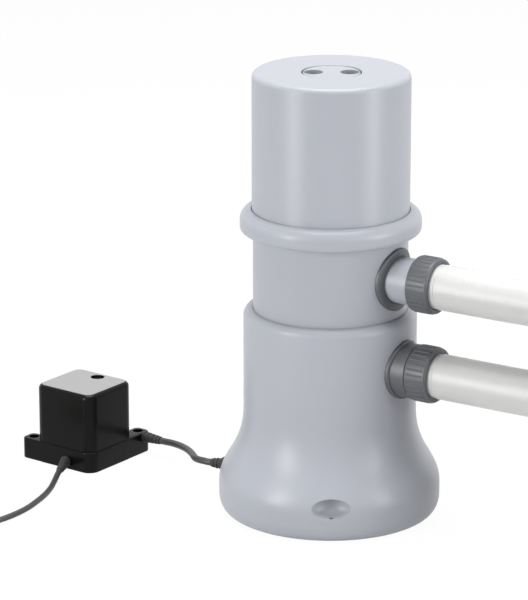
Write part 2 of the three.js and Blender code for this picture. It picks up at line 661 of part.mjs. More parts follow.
add(pump, 'pump_chamber', pumpChamber(), GREY);
add(pump, 'chamber_cover',
  ring(SPOUT_BORE - 1, VOLUTE_RADIUS, VOLUTE_TOP + GAP, VOLUTE_TOP + COVER_PLATE, 28), GREY);
add(pump, 'rotor_well', turned([
  [0, WELL_LOW], [WELL_RADIUS, WELL_LOW], [WELL_RADIUS, wellTop - WELL_FLANGE],
  [VOLUTE_RADIUS, wellTop - WELL_FLANGE], [VOLUTE_RADIUS, wellTop], [WELL_RADIUS - WELL_WALL, wellTop],
  [WELL_RADIUS - WELL_WALL, WELL_LOW + WELL_WALL], [0, WELL_LOW + WELL_WALL],
], 24), DARK_GREY);

const bushLow = WELL_LOW + WELL_WALL + GAP;
const BUSH_LENGTH = 5;
const magnetLow = bushLow + BUSH_LENGTH + 2;
const magnetTop = magnetLow + MAGNET_LENGTH;
const bushTopLow = magnetTop + 1;
const bushRadius = WELL_RADIUS - WELL_WALL - GAP;
const hubLow = VOLUTE_LOW + 4;
const hubTop = hubLow + 18;

const bush = (low, length) => ring(SHAFT_RADIUS + GAP, bushRadius, low, low + length, 24);
add(pump, 'shaft_bush_lower', bush(bushLow, BUSH_LENGTH), BRASS);
add(pump, 'shaft_bush_upper', bush(bushTopLow, 3), BRASS);
add(pump, 'rotor_shaft', ring(0, SHAFT_RADIUS, bushLow + GAP, hubTop - 4, 16), STEEL);
add(pump, 'rotor_magnet', ring(SHAFT_RADIUS + GAP, MAGNET_RADIUS, magnetLow, magnetTop, 24), BLACK);

function impeller() {
  const hub = turned([
    [SHAFT_RADIUS + GAP, hubLow], [8, hubLow], [8, hubTop - 5], [4, hubTop], [0, hubTop],
    [0, hubTop - 4 + GAP], [SHAFT_RADIUS + GAP, hubTop - 4 + GAP], [SHAFT_RADIUS + GAP, hubLow],
  ], 20);
  let wheel = solid(hub).add(solid(ring(7, IMPELLER_RADIUS, hubLow, hubLow + 2, 32)));
  for (let i = 0; i < VANES; i += 1) {
    const vane = block(IMPELLER_RADIUS - 7.5, 1.8, 12, hubLow + 1);
    vane.translate((IMPELLER_RADIUS + 5.5) / 2, 0, 0).rotateZ((i / VANES) * Math.PI * 2);
    wheel = wheel.add(solid(vane));
  }
  return wheel;
}

add(pump, 'impeller', impeller(), DARK_GREY);

const canLow = BASE_THICK + GAP;
const canTop = wellTop - WELL_FLANGE - GAP;
const canWall = 3.5;
const ledgeTop = STATOR_LOW - COIL_BUILD - 2 * GAP;
add(pump, 'motor_can', turned([
  [0, canLow], [CAN_RADIUS, canLow], [CAN_RADIUS, canTop], [CAN_RADIUS - canWall, canTop],
  [CAN_RADIUS - canWall, ledgeTop], [WELL_RADIUS + 8, ledgeTop],
  [WELL_RADIUS + 8, canLow + 3], [0, canLow + 3],
], 28), GREY);

function statorCore() {
  const high = STATOR_LOW + STATOR_LENGTH;
  let core = solid(ring(STATOR_RADIUS - STATOR_RING, STATOR_RADIUS, STATOR_LOW, high, 28));
  const tip = WELL_RADIUS + GAP;
  const reach = STATOR_RADIUS - STATOR_RING + 2;
  for (let i = 0; i < 4; i += 1) {
    const pole = block(reach - tip, POLE_WIDTH, STATOR_LENGTH, STATOR_LOW).translate((reach + tip) / 2, 0, 0);
    core = core.add(solid(pole.rotateZ((i * Math.PI) / 2)));
  }
  return core.subtract(solid(ring(0, WELL_RADIUS + GAP, 0, VOLUTE_LOW, 32)));
}

add(pump, 'stator_core', statorCore(), STEEL);
for (let i = 0; i < 4; i += 1) {
  const hole = [POLE_WIDTH + 2 * GAP, STATOR_LENGTH + 2 * GAP];
  const room = STATOR_RADIUS - STATOR_RING - 2 * GAP;
  const middle = Math.sqrt(room ** 2 - (hole[0] / 2 + COIL_BUILD) ** 2) - COIL_DEPTH / 2;
  const [width, tall] = hole.map((size) => size + 2 * COIL_BUILD);
  const outer = block(COIL_DEPTH, width, tall, STATOR_LOW - GAP - COIL_BUILD);
  const inner = block(COIL_DEPTH + 2, hole[0], hole[1], STATOR_LOW - GAP);
  const coil = solid(outer.translate(middle, 0, 0)).subtract(solid(inner.translate(middle, 0, 0)));
  add(pump, `stator_coil_${i + 1}`, coil.rotate([0, 0, i * 90]), COPPER);
}

// ---- motor lead ---------------------------------------------------------

function glandRelief() {
  const [start, end] = [FLARE_RADIUS - WALL - 5, FLARE_RADIUS + GLAND_LENGTH + 4];
  const inside = FLARE_RADIUS - WALL - 2;
  const outside = FLARE_RADIUS + 0.5;
  const body = alongX(turned([
    [0, start], [GLAND_RADIUS, start], [GLAND_RADIUS, inside], [GLAND_NECK, inside], [GLAND_NECK, outside],
    [GLAND_RADIUS, outside], [GLAND_RADIUS - 1, outside + 4], [LEAD_RADIUS + 0.6, end], [0, end],
  ], 20));
  return body.rotateZ(own(GLAND_ANGLE)).translate(0, 0, GLAND_HEIGHT);
}

add(pump, 'motor_lead_gland', glandRelief(), RUBBER);
add(assembly, 'low_voltage_cord', tube(LOW_VOLTAGE_ROUTE, LEAD_RADIUS, 10, 8), BLACK);

// ---- transformer --------------------------------------------------------

const box = new THREE.Group();
box.position.set(BOX.x, BOX.y, 0);
box.rotation.z = degrees(BOX.turn);
assembly.add(box);

const trayFloor = 3;
const trayEdge = 1; // how far the tray stands out past the case
const trayX = BOX_LENGTH / 2 + trayEdge;
const trayY = BOX_WIDTH / 2 + trayEdge;
// Each lug lies along one side of the tray: its screw hole's place and its lengths along X and Y.
const lugs = [
  { hole: [LUG / 2 - trayX, trayY + LUG_REACH - LUG / 2], x: LUG, y: 2 * LUG_REACH },
  { hole: [trayX + LUG_REACH - LUG / 2, LUG / 2 - trayY], x: 2 * LUG_REACH, y: LUG },
];
const bossPlaces = [[BOX_SCREW_X, BOX_SCREW_Y], [-BOX_SCREW_X, -BOX_SCREW_Y]];

function transformerTray() {
  const hollow = roundedBox(
    BOX_LENGTH - 2 * BOX_WALL, BOX_WIDTH - 2 * BOX_WALL, BOX_CORNER - BOX_WALL, trayFloor, TRAY_HEIGHT + 1,
  );
  let tray = solid(roundedBox(2 * trayX, 2 * trayY, BOX_CORNER, 0, TRAY_HEIGHT)).subtract(solid(hollow));
  for (const lug of lugs) {
    const [x, y] = lug.hole;
    const [backX, backY] = [(lug.x - LUG) / 2, (lug.y - LUG) / 2];
    const arm = roundedBox(lug.x, lug.y, 5, 0, LUG_HEIGHT).translate(x - backX, y - backY, 0);
    const inside = solid(block(BOX_LENGTH - 2, BOX_WIDTH - 2, LUG_HEIGHT * 2));
    const bore = solid(ring(0, LUG_HOLE, -1, LUG_HEIGHT + 1, 8).translate(x, y, 0));
    tray = tray.add(solid(arm).subtract(inside)).subtract(bore);
  }
  const above = solid(roundedBox(BOX_LENGTH + 2 * GAP, BOX_WIDTH + 2 * GAP, BOX_CORNER, TRAY_HEIGHT, CLEAR));
  for (const [x, y] of bossPlaces) {
    tray = tray.subtract(solid(ring(0, SCREW_SHANK + GAP, -1, trayFloor + 1, 12).translate(x, y, 0)));
    tray = tray.subtract(solid(ring(0, SCREW_HEAD + GAP, -1, 1.8, 16).translate(x, y, 0)));
  }
  return tray.subtract(above);
}

function transformerCase() {
  const low = TRAY_HEIGHT + GAP;
  const shape = new THREE.Shape();
  const corner = BOX_CORNER - BOX_EDGE;
  const [w, d] = [BOX_LENGTH / 2 - BOX_CORNER, BOX_WIDTH / 2 - BOX_CORNER];
  [[w, d], [-w, d], [-w, -d], [w, -d]].forEach(([x, y], i) => {
    shape.absarc(x, y, corner, (i * Math.PI) / 2, ((i + 1) * Math.PI) / 2, false);
  });
  const options = {
    depth: BOX_HEIGHT, bevelThickness: BOX_EDGE, bevelSize: BOX_EDGE, bevelSegments: 2, curveSegments: 3,
  };
  const outer = new THREE.ExtrudeGeometry(shape, options).translate(0, 0, -BOX_EDGE);
  const hollow = roundedBox(
    BOX_LENGTH - 2 * BOX_WALL, BOX_WIDTH - 2 * BOX_WALL, BOX_CORNER - BOX_WALL, 0, BOX_HEIGHT - BOX_WALL - 1,
  );
  let shell = solid(outer).subtract(solid(hollow)).subtract(solid(block(CLEAR, CLEAR, CLEAR, low - CLEAR)));
  for (const [x, y] of bossPlaces) {
    const boss = ring(0, BOX_BOSS, trayFloor + GAP, BOX_HEIGHT - BOX_WALL, 16).translate(x, y, 0);
    const bore = ring(0, SCREW_SHANK + GAP, 0, SCREW_LENGTH + 4, 12).translate(x, y, 0);
    shell = shell.add(solid(boss)).subtract(solid(bore));
  }
  const recess = ring(0, RECESS.radius, BOX_HEIGHT - RECESS.depth, BOX_HEIGHT + 2, 20);
  recess.translate(RECESS.x, RECESS.y, 0);
  return shell.subtract(solid(recess));
}

function coreBlock() {
  const low = trayFloor + GAP;
  let core = solid(block(CORE_BLOCK.x, CORE_BLOCK.y, CORE_BLOCK.z, low));
  for (const side of [-1, 1]) {
    const middle = side * (CORE_LEG + CORE_WINDOW.x) / 2;
    const rise = (CORE_BLOCK.z - CORE_WINDOW.z) / 2;
    const window = block(CORE_WINDOW.x, CORE_BLOCK.y + 2, CORE_WINDOW.z, low + rise);
    core = core.subtract(solid(window.translate(middle, 0, 0)));
  }
  return core;
}

function winding() {
  const low = trayFloor + GAP + (CORE_BLOCK.z - CORE_WINDOW.z) / 2 + GAP;
  const high = CORE_WINDOW.z - 2 * GAP;
  const hole = [CORE_LEG + 2 * GAP, CORE_BLOCK.y + 2 * GAP];
  const outer = block(hole[0] + 2 * WINDING_BUILD, hole[1] + 2 * WINDING_BUILD, high, low);
  return solid(outer).subtract(solid(block(hole[0], hole[1], high + 2, low - 1)));
}

add(box, 'transformer_base', transformerTray(), BLACK);
add(box, 'transformer_case', transformerCase(), BLACK);
add(box, 'transformer_core', coreBlock(), STEEL);
add(box, 'transformer_winding', winding(), COPPER);
bossPlaces.forEach(([x, y], i) => {
  const screw = turned([
    [0, 0.3], [SCREW_HEAD, 0.3], [SCREW_HEAD, 1.5], [SCREW_SHANK, 1.8],
    [SCREW_SHANK, SCREW_LENGTH], [0, SCREW_LENGTH],
  ], 12);
  add(box, `transformer_screw_${i + 1}`, screw.translate(x, y, 0), STEEL);
});

const outletStart = trayY + GAP;
const OUTLET_RELIEF = 18;
const OUTLET_HEIGHT_ABOVE = 15;
const outletRelief = cone(RELIEF_RADIUS - 0.5, LEAD_RADIUS + 0.6, outletStart, outletStart + OUTLET_RELIEF);
outletRelief.rotateX(Math.PI / 2).translate(lugs[1].hole[0], 0, OUTLET_HEIGHT_ABOVE);
add(box, 'outlet_relief', outletRelief, RUBBER);

// ---- mains lead, its coil and plug --------------------------------------

function mainsRelief() {
  const heading = new THREE.Vector3(...MAINS_HEADING).normalize();
  const turn = new THREE.Quaternion().setFromUnitVectors(new THREE.Vector3(0, 0, 1), heading);
  const shape = cone(RELIEF_RADIUS, MAINS_RADIUS + 0.6, -6, RELIEF_LENGTH);
  shape.applyQuaternion(turn).translate(...MAINS_EXIT);
  const clear = roundedBox(2 * (trayX + GAP), 2 * (trayY + GAP), BOX_CORNER, -1, CLEAR);
  clear.rotateZ(degrees(BOX.turn)).translate(BOX.x, BOX.y, 0);
  const floor = block(CLEAR, CLEAR, CLEAR, FLOOR_GAP - CLEAR).translate(BOX.x, BOX.y, 0);
  return solid(shape).subtract(solid(clear)).subtract(solid(floor));
}

add(assembly, 'mains_relief', mainsRelief(), RUBBER);
add(assembly, 'mains_cord', tube(MAINS_ROUTE, MAINS_RADIUS, 14, 8), BLACK);
const coilWidth = (COIL_COLUMNS * COIL_PITCH) / 2;
const [coilIn, coilOut] = [COIL_TURN_RADIUS - coilWidth, COIL_TURN_RADIUS + coilWidth];
const coil = ring(coilIn, coilOut, FLOOR_GAP, FLOOR_GAP + COIL_LAYERS * COIL_PITCH, 32);
add(assembly, 'mains_cord_coil', coil.translate(...COIL_CENTRE, 0), BLACK);
add(assembly, 'plug_lead', tube(PLUG_ROUTE, MAINS_RADIUS, 8, 8), BLACK);

const plug = new THREE.Group();
plug.position.set(PLUG.x, PLUG.y, PLUG.z);
plug.rotation.z = Math.PI / 2; // the blades point to +Y
assembly.add(plug);
const plugBody = roundedBox(PLUG.width, PLUG.height, PLUG.corner, 0, PLUG.length, 4);
plugBody.rotateY(Math.PI / 2).rotateX(Math.PI / 2);
const plugRelief = alongX(cone(MAINS_RADIUS + 0.6, RELIEF_RADIUS, -PLUG.relief, 1));
add(plug, 'plug_body', solid(plugBody).add(solid(plugRelief)), BLACK);
[-1, 1].forEach((side, i) => {
  const blade = new THREE.BoxGeometry(BLADE.length, BLADE.width, BLADE.height);
  blade.translate(PLUG.length + GAP + BLADE.length / 2, (side * BLADE.apart) / 2, BLADE.above);
  add(plug, `plug_blade_${i + 1}`, blade, BRASS);
});

export default assembly;
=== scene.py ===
"""Cartridge filter pump for an above-ground pool, with hoses, leads and transformer.

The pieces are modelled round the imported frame, in metres, +Z up. The origin is
the centre of the pump's round base on the floor.
"""

import json
import math

import bmesh
import bpy
from mathutils import Matrix, Vector


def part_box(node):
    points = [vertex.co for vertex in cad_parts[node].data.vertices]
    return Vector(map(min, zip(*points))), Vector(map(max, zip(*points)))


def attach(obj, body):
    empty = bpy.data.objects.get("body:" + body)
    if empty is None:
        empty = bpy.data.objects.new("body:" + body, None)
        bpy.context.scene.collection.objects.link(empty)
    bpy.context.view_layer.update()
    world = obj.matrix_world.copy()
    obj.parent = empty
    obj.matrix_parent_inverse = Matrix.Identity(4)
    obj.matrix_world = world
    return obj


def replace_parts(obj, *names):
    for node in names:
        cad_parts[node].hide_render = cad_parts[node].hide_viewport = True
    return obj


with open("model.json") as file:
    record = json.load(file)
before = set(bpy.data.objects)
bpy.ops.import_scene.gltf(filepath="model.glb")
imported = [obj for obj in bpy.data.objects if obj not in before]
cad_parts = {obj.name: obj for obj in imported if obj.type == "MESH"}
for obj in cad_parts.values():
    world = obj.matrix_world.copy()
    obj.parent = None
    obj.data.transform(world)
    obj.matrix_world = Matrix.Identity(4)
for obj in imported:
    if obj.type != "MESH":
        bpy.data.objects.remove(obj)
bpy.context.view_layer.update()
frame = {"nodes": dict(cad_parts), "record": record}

bl_info = {
    "name": "Cartridge filter pump",
    "version": (1, 0, 0),
    "blender": (4, 5, 0),
    "location": "3D View > Sidebar > Filter pump",
    "description": "Builds the pieces, finishes and stage of a cartridge filter pump",
    "category": "Object",
}

# ---- sizes, in metres ------------------------------------------------------

GAP = 0.0003
WALL = 0.003
SHELL_SIDES = 128

PORT_ANGLE = math.radians(-33)
UPPER_PORT = 0.212
LOWER_PORT = 0.135
TO_PORTS = Matrix.Rotation(PORT_ANGLE, 4, "Z")

COVER_RADIUS = 0.066
COVER_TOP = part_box("filter_cover")[1][2]
COVER_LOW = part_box("filter_cover")[0][2]
COVER_FLANGE = 0.004
COVER_CORNER = 0.0045
DISH_RADIUS = 0.025
DISH_DEPTH = 0.008
VALVE_STEM = 0.005
VALVE_WELL = 0.008
VALVE_WELL_PLACE = 0.0150
VALVE_FLOOR = 0.002
VALVE_STEM_LENGTH = 0.014

RING_RADIUS = 0.076
RING_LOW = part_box("lock_ring")[0][2]
RING_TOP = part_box("lock_ring")[1][2]
RING_ROUND = 0.009

BODY_RADIUS = 0.065
RIM_RADIUS = 0.071
RIM_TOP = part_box("filter_housing")[1][2]
RIM_HEIGHT = 0.007
SEAL_CENTRE = 0.0675
SEAL_GROOVE = 0.0015
CHAMBER_LOW = 0.152
CHAMBER_FLOOR = 0.004
OUTLET_RADIUS = 0.016

LOWER_RADIUS = 0.073
SHOULDER_TOP = 0.178
SHOULDER_ROUND = 0.007
FLARE_RADIUS = 0.094
FLARE_LOW = 0.024
FLARE_HIGH = 0.092
FOOT_DEPTH = 0.008
FOOT_HEIGHT = 0.014
BASE_RADIUS = 0.080
BASE_THICK = 0.004
NICHE_WIDE = 0.019
NICHE_TALL = 0.010
NICHE_CENTRE = 0.101
NICHE_HEIGHT = 0.030
NICHE_FLOOR = 0.022
NICHE_HOLE = 0.0914
NICHE_BORE = 0.0022
FOOT_INSIDE = 0.044
FOOT_TAPER = 0.062

SPOUT_RADIUS = 0.0195
SPOUT_BORE = 0.013
SPOUT_END = 0.0945
# The port flanges are dark: partly a real flange, partly painted shade round the roots of the ports.
PORT_FLANGE = 0.003
UPPER_FLANGE = 0.0265
LOWER_FLANGE = 0.025
COLLAR_RADIUS = 0.023
COLLAR_END = 0.0855
NUT_RADIUS = 0.0233
NUT_BORE = 0.0201
NUT_START = 0.0858
NUT_END = 0.1058
NUT_WALL = 0.005
CUFF_START = 0.0975
CUFF_FLANGE = 0.003
CUFF_RADIUS = 0.0187
CUFF_BORE = 0.014
CUFF_END = 0.1098

HOSE_RADIUS = 0.019
HOSE_TURN = 0.209
HOSE_TANGENT = 0.353

CARTRIDGE_RADIUS = 0.054
CORE_RADIUS = 0.0265

GLAND_ANGLE = math.radians(159)
GLAND_HEIGHT = 0.025
GLAND_RADIUS = 0.0065
LEAD_RADIUS = 0.003
MAINS_RADIUS = 0.0025
RELIEF_RADIUS = 0.0055
RELIEF_LENGTH = 0.022
MAINS_EXIT = Vector((-0.230, 0.094, 0.007))
MAINS_HEADING = Vector((-0.21, -0.97, -0.07)).normalized()

BOX_PLACE = Matrix.Translation((-0.212, 0.118, 0)) @ Matrix.Rotation(math.radians(53.13), 4, "Z")
BOX_LENGTH = 0.060
BOX_WIDTH = 0.064
BOX_SHIFT = 0.0035
BOX_HEIGHT = 0.071
BOX_CORNER = 0.010
TRAY_EDGE = 0.001
TRAY_HEIGHT = 0.0187
LUG = 0.016
LUG_HEIGHT = 0.019
LUG_REACH = 0.021
LUG_HOLE = 0.0023
LUG_SINK = 0.0045
LUG_SINK_DEPTH = 0.003
DIMPLE_PLACE = (0.0185, 0.003, 0)
# Sheet over most of the transformer's top, light grey as a painted highlight for the top's sheen, shaped as a
# plain label.
TOP_SHEEN_SIZE = (0.0535, 0.0570)
TOP_SHEEN_HALF = 0.0003
OUTLET_HEIGHT = 0.015
OUTLET_RELIEF = 0.018

COIL_CENTRE = Vector((-0.330, -0.0946, 0))
COIL_INNER = 0.020
COIL_PITCH = 0.0051
COIL_COLUMNS = 4
COIL_LOW = 0.0027
PLUG_PLACE = Matrix.Translation((-0.374, 0.010, 0.012)) @ Matrix.Rotation(math.pi / 2, 4, "Z")
PLUG_SIZE = (0.034, 0.026, 0.023)
PLUG_RELIEF = 0.0147

# ---- routes of the hoses and leads, as laid ---------------------------------

LOW_VOLTAGE_ROUTE = [
    (-0.1011, 0.0388, 0.0250), (-0.1048, 0.0406, 0.0250), (-0.1082, 0.0431, 0.0250),
    (-0.1112, 0.0461, 0.0246), (-0.1135, 0.0496, 0.0241), (-0.1154, 0.0542, 0.0235),
    (-0.1164, 0.0591, 0.0229), (-0.1179, 0.0680, 0.0218), (-0.1199, 0.0780, 0.0205),
    (-0.1229, 0.0886, 0.0192), (-0.1270, 0.0990, 0.0179), (-0.1323, 0.1090, 0.0166),
    (-0.1387, 0.1176, 0.0155), (-0.1429, 0.1212, 0.0151), (-0.1471, 0.1243, 0.0150),
]

MAINS_ROUTE = [
    (-0.2347, 0.0723, 0.0054), (-0.2363, 0.0640, 0.0041), (-0.2380, 0.0520, 0.0030),
    (-0.2402, 0.0360, 0.0027), (-0.2438, 0.0200, 0.0027), (-0.2496, 0.0030, 0.0027),
    (-0.2574, -0.0150, 0.0027), (-0.2676, -0.0310, 0.0027), (-0.2794, -0.0442, 0.0027),
    (-0.2920, -0.0530, 0.0027), (-0.3010, -0.0572, 0.0027), (-0.3106, -0.0591, 0.0027),
]

PLUG_ROUTE = [
    (-0.3494, -0.0591, 0.0078), (-0.3540, -0.0583, 0.0079), (-0.3604, -0.0564, 0.0082),
    (-0.3676, -0.0514, 0.0090), (-0.3723, -0.0440, 0.0100), (-0.3740, -0.0356, 0.0110),
    (-0.3740, -0.0250, 0.0116), (-0.3740, -0.0150, 0.0120), (-0.3740, -0.0050, 0.0120),
]

# Each hose as (distance along its plan, height).
UPPER_HOSE_ROUTE = [
    (0.1101, 0.2120), (0.140, 0.2120), (0.172, 0.2120), (0.205, 0.2120), (0.260, 0.2061),
    (0.315, 0.1894), (0.370, 0.1644), (0.425, 0.1349), (0.480, 0.1053), (0.535, 0.0803),
    (0.590, 0.0636), (0.645, 0.0578), (0.700, 0.0578), (0.760, 0.0578), (0.820, 0.0578),
    (0.880, 0.0578), (0.940, 0.0578), (1.000, 0.0578), (1.060, 0.0578), (1.120, 0.0578),
    (1.180, 0.0578), (1.240, 0.0578), (1.300, 0.0578), (1.360, 0.0578), (1.420, 0.0590),
    (1.480, 0.0635), (1.535, 0.0690), (1.576, 0.0709),
]

LOWER_HOSE_ROUTE = [
    (0.1101, 0.1350), (0.140, 0.1350), (0.172, 0.1350), (0.205, 0.1350), (0.260, 0.1306),
    (0.315, 0.1180), (0.370, 0.0993), (0.425, 0.0771), (0.480, 0.0549), (0.535, 0.0362),
    (0.590, 0.0236), (0.645, 0.0192), (0.700, 0.0192), (0.760, 0.0192), (0.820, 0.0192),
    (0.880, 0.0192), (0.940, 0.0192), (1.000, 0.0192), (1.060, 0.0192), (1.120, 0.0192),
    (1.180, 0.0192), (1.240, 0.0192), (1.300, 0.0192), (1.360, 0.0192), (1.420, 0.0194),
    (1.480, 0.0208), (1.540, 0.0228), (1.591, 0.0236),
]

# ---- camera and light -----------------------------------------------------------

CAMERA_PLACE = (-0.0557, -2.7756, 1.0234)
CAMERA_TILT = math.radians(73.16)
CAMERA_LENS = 207.1

FLOOR_REACH = 6.0
FLOOR_LOW = -0.0001
GLOW_SHARE = 0.94
GLOW_STRENGTH = 1.02
LAMP_AIM = Vector((0, 0, 0.18))
# Each lamp as (name, place, share of the lamp power, width and height).
LAMPS = (
    ("left lamp", (-1.7, -1.5, 1.3), 0.15, (1.1, 1.1)),
    ("right lamp", (1.9, -1.3, 1.2), 0.12, (1.1, 1.1)),
    ("left strip", (-1.18, -0.84, 0.42), 0.52, (0.42, 0.8)),
    ("right strip", (1.26, -0.73, 0.42), 0.50, (0.42, 0.8)),
    ("top lamp", (0.0, 0.2, 2.3), 2.7, (1.6, 1.6)),
)

# ---- settings ----------------------------------------------------------------


def colour(name, description, default):
    return bpy.props.FloatVectorProperty(
        name=name, description=description, subtype="COLOR", size=3, min=0, max=1, default=default,
    )


def length(name, description, default):
    return bpy.props.FloatProperty(
        name=name, description=description, unit="LENGTH", min=0, default=default, precision=4,
    )


class ShellSettings(bpy.types.PropertyGroup):
    """Finish of the moulded shells"""

    colour: colour("Shell colour", "Colour of the moulded housings", (0.345, 0.358, 0.395))
    roughness: bpy.props.FloatProperty(
        name="Shell roughness", description="Roughness of the moulded housings", default=0.36, min=0, max=1,
    )


class FittingSettings(bpy.types.PropertyGroup):
    """Hose nuts and port flanges"""

    # On the port flanges this colour is partly painted shade round the roots of the ports.
    colour: colour("Fitting colour", "Colour of the hose nuts and port flanges", (0.085, 0.089, 0.098))
    ribs: bpy.props.IntProperty(
        name="Grip ribs", description="Number of grip ribs round a hose nut", default=32, min=6, max=80,
    )
    rib_radius: length("Rib radius", "Radius of one grip rib", 0.0011)


class HoseSettings(bpy.types.PropertyGroup):
    """Hoses and their cuffs"""

    colour: colour("Hose colour", "Colour of the hoses", (0.54, 0.54, 0.53))
    pitch: length("Ridge pitch", "Distance from one ridge to the next", 0.0045)
    depth: length("Ridge depth", "Depth of the ridges along the hose", 0.00012)


class PowerSettings(bpy.types.PropertyGroup):
    """Transformer, leads and plug"""

    colour: colour("Case colour", "Colour of the transformer and plug", (0.004, 0.004, 0.004))
    lead_colour: colour("Lead colour", "Colour of the leads", (0.03, 0.03, 0.03))


class CartridgeSettings(bpy.types.PropertyGroup):
    """Filter cartridge"""

    paper: colour("Paper colour", "Colour of the pleated sheet", (0.80, 0.83, 0.86))
    caps: colour("Cap colour", "Colour of the end caps", (0.05, 0.16, 0.40))
    pleats: bpy.props.IntProperty(
        name="Pleats", description="Number of pleats round the cartridge", default=72, min=12, max=160,
    )


class StageSettings(bpy.types.PropertyGroup):
    """Floor, light and camera"""

    floor: colour("Floor colour", "Colour of the floor", (0.62, 0.62, 0.62))
    key: bpy.props.FloatProperty(
        name="Lamp power", description="Power that each lamp takes its share of", unit="POWER",
        default=26, min=0,
    )
    sky: bpy.props.FloatProperty(
        name="Ambient light", description="Strength of the even light all round", default=0.22, min=0,
    )


# ---- materials -----------------------------------------------------------------


def linked(tree, node_type, **inputs):
    """A node with its inputs set to values or linked to sockets."""
    node = tree.nodes.new(node_type)
    for name, value in inputs.items():
        socket = node.inputs[name.replace("_", " ")]
        if isinstance(value, bpy.types.NodeSocket):
            tree.links.new(value, socket)
        else:
            socket.default_value = value
    return node


def blank_material(name):
    material = bpy.data.materials.get(name)
    if material:
        return material, None
    material = bpy.data.materials.new(name)
    material.use_nodes = True
    material.node_tree.nodes.clear()
    return material, material.node_tree


def noise(tree, scale, detail=3.0, stretch=(1, 1, 1)):
    """A noise pattern on object coordinates, drawn out by stretch."""
    place = tree.nodes.new("ShaderNodeTexCoord")
    mapping = linked(tree, "ShaderNodeMapping", Vector=place.outputs["Object"], Scale=stretch)
    return linked(tree, "ShaderNodeTexNoise", Vector=mapping.outputs["Vector"], Scale=scale, Detail=detail)


def spread(tree, factor, low, high):
    remap = linked(tree, "ShaderNodeMapRange", Value=factor, To_Min=low, To_Max=high)
    return remap.outputs["Result"]


def tinted(tree, factor, base, amount):
    """The base colour, a little lighter and darker by the factor."""
    mix = tree.nodes.new("ShaderNodeMix")
    mix.data_type = "RGBA"
    tree.links.new(factor, mix.inputs[0])
    mix.inputs[6].default_value = (*[c * (1 - amount) for c in base], 1)
    mix.inputs[7].default_value = (*[min(1, c * (1 + amount)) for c in base], 1)
    return mix.outputs[2]


def finish(
    name, base, roughness, grain=900, bump=0.00002, amount=0.04, cloud=14, stretch=(1, 1, 1),
    metallic=0.0, coat=0.0, subsurface=0.0, specular=0.5,
):
    """A surface with clouded colour, uneven gloss and a fine grain."""
    material, tree = blank_material(name)
    if tree is None:
        return material
    clouds = noise(tree, cloud, 4.0, stretch).outputs["Fac"]
    fine = noise(tree, grain, 2.0, stretch).outputs["Fac"]
    lift = linked(tree, "ShaderNodeBump", Height=fine, Distance=bump, Strength=0.6)
    shader = linked(
        tree, "ShaderNodeBsdfPrincipled",
        Base_Color=tinted(tree, clouds, base, amount),
        Roughness=spread(tree, fine, roughness * 0.88, min(1, roughness * 1.12)),
        Normal=lift.outputs["Normal"], Metallic=metallic, Coat_Weight=coat, Subsurface_Weight=subsurface,
        Specular_IOR_Level=specular,
    )
    if subsurface:
        shader.inputs["Subsurface Radius"].default_value = (1, 1, 1)
        shader.inputs["Subsurface Scale"].default_value = 0.002
    linked(tree, "ShaderNodeOutputMaterial", Surface=shader.outputs["BSDF"])
    return material


def wound(name, base, pitch, roughness, metallic, direction="Z"):
    """Fine parallel lines, as on wire turns and stacked sheets, with painted shade darkening the grooves
    between them.
    """
    material, tree = blank_material(name)
    if tree is None:
        return material
    place = tree.nodes.new("ShaderNodeTexCoord")
    wave = linked(
        tree, "ShaderNodeTexWave", Vector=place.outputs["Object"],
        Scale=math.tau / (20 * pitch), Distortion=0.0,
    )
    wave.bands_direction = direction
    lift = linked(tree, "ShaderNodeBump", Height=wave.outputs["Fac"], Distance=pitch / 4, Strength=0.8)
    # Colour darker in the grooves of the bump: painted shade between the turns and sheets, on a real line
    # pattern.
    shader = linked(
        tree, "ShaderNodeBsdfPrincipled",
        Base_Color=tinted(tree, wave.outputs["Fac"], base, 0.25),
        Roughness=spread(tree, wave.outputs["Fac"], roughness * 1.2, roughness),
        Normal=lift.outputs["Normal"], Metallic=metallic,
    )
    linked(tree, "ShaderNodeOutputMaterial", Surface=shader.outputs["BSDF"])
    return material


def settings():
    return bpy.context.scene.filter_pump


def shell_plastic():
    look = settings().shell
    return finish(
        "shell plastic", look.colour, look.roughness, amount=0.02, cloud=9,
        stretch=(1, 1, 0.15), specular=0.35,
    )


def fitting_plastic():
    return finish("fitting plastic", settings().fittings.colour, 0.42, amount=0.08, cloud=30)


def hose_plastic():
    return finish("hose plastic", settings().hoses.colour, 0.38, amount=0.02, cloud=20, subsurface=0.35)


def case_plastic():
    base = settings().power.colour
    return finish("case plastic", base, 0.24, bump=0.00004, amount=0.15, cloud=40, specular=0.12)


# Light grey for the sheet on the transformer's top: painted highlight standing in for the top's sheen.
def top_sheen_plastic():
    return finish("painted top sheen plastic", (0.30, 0.30, 0.305), 0.4, amount=0.04, cloud=40, specular=0.3)


def lead_sheath():
    return finish("lead sheath", settings().power.lead_colour, 0.45, amount=0.12, cloud=60)


def soft_rubber():
    return finish("soft rubber", (0.018, 0.018, 0.018), 0.7, amount=0.15, bump=0.00004)


def filter_paper():
    return finish(
        "filter paper", settings().cartridge.paper, 0.9, grain=500, bump=0.0002, amount=0.06,
        stretch=(1, 1, 0.2),
    )


def cap_plastic():
    return finish("cap plastic", settings().cartridge.caps, 0.5, amount=0.06)


def white_plastic():
    return finish("white plastic", (0.76, 0.77, 0.79), 0.5, amount=0.02)


def drawn_steel():
    return finish("drawn steel", (0.42, 0.43, 0.44), 0.28, stretch=(1, 1, 0.05), metallic=1.0, amount=0.08)


def turned_brass():
    return finish("turned brass", (0.55, 0.39, 0.12), 0.28, stretch=(1, 1, 0.1), metallic=1.0, amount=0.08)


def copper_turns():
    return wound("copper turns", (0.48, 0.16, 0.05), 0.0008, 0.3, 1.0)


def stacked_sheets():
    return wound("stacked sheets", (0.35, 0.35, 0.36), 0.0006, 0.35, 1.0)


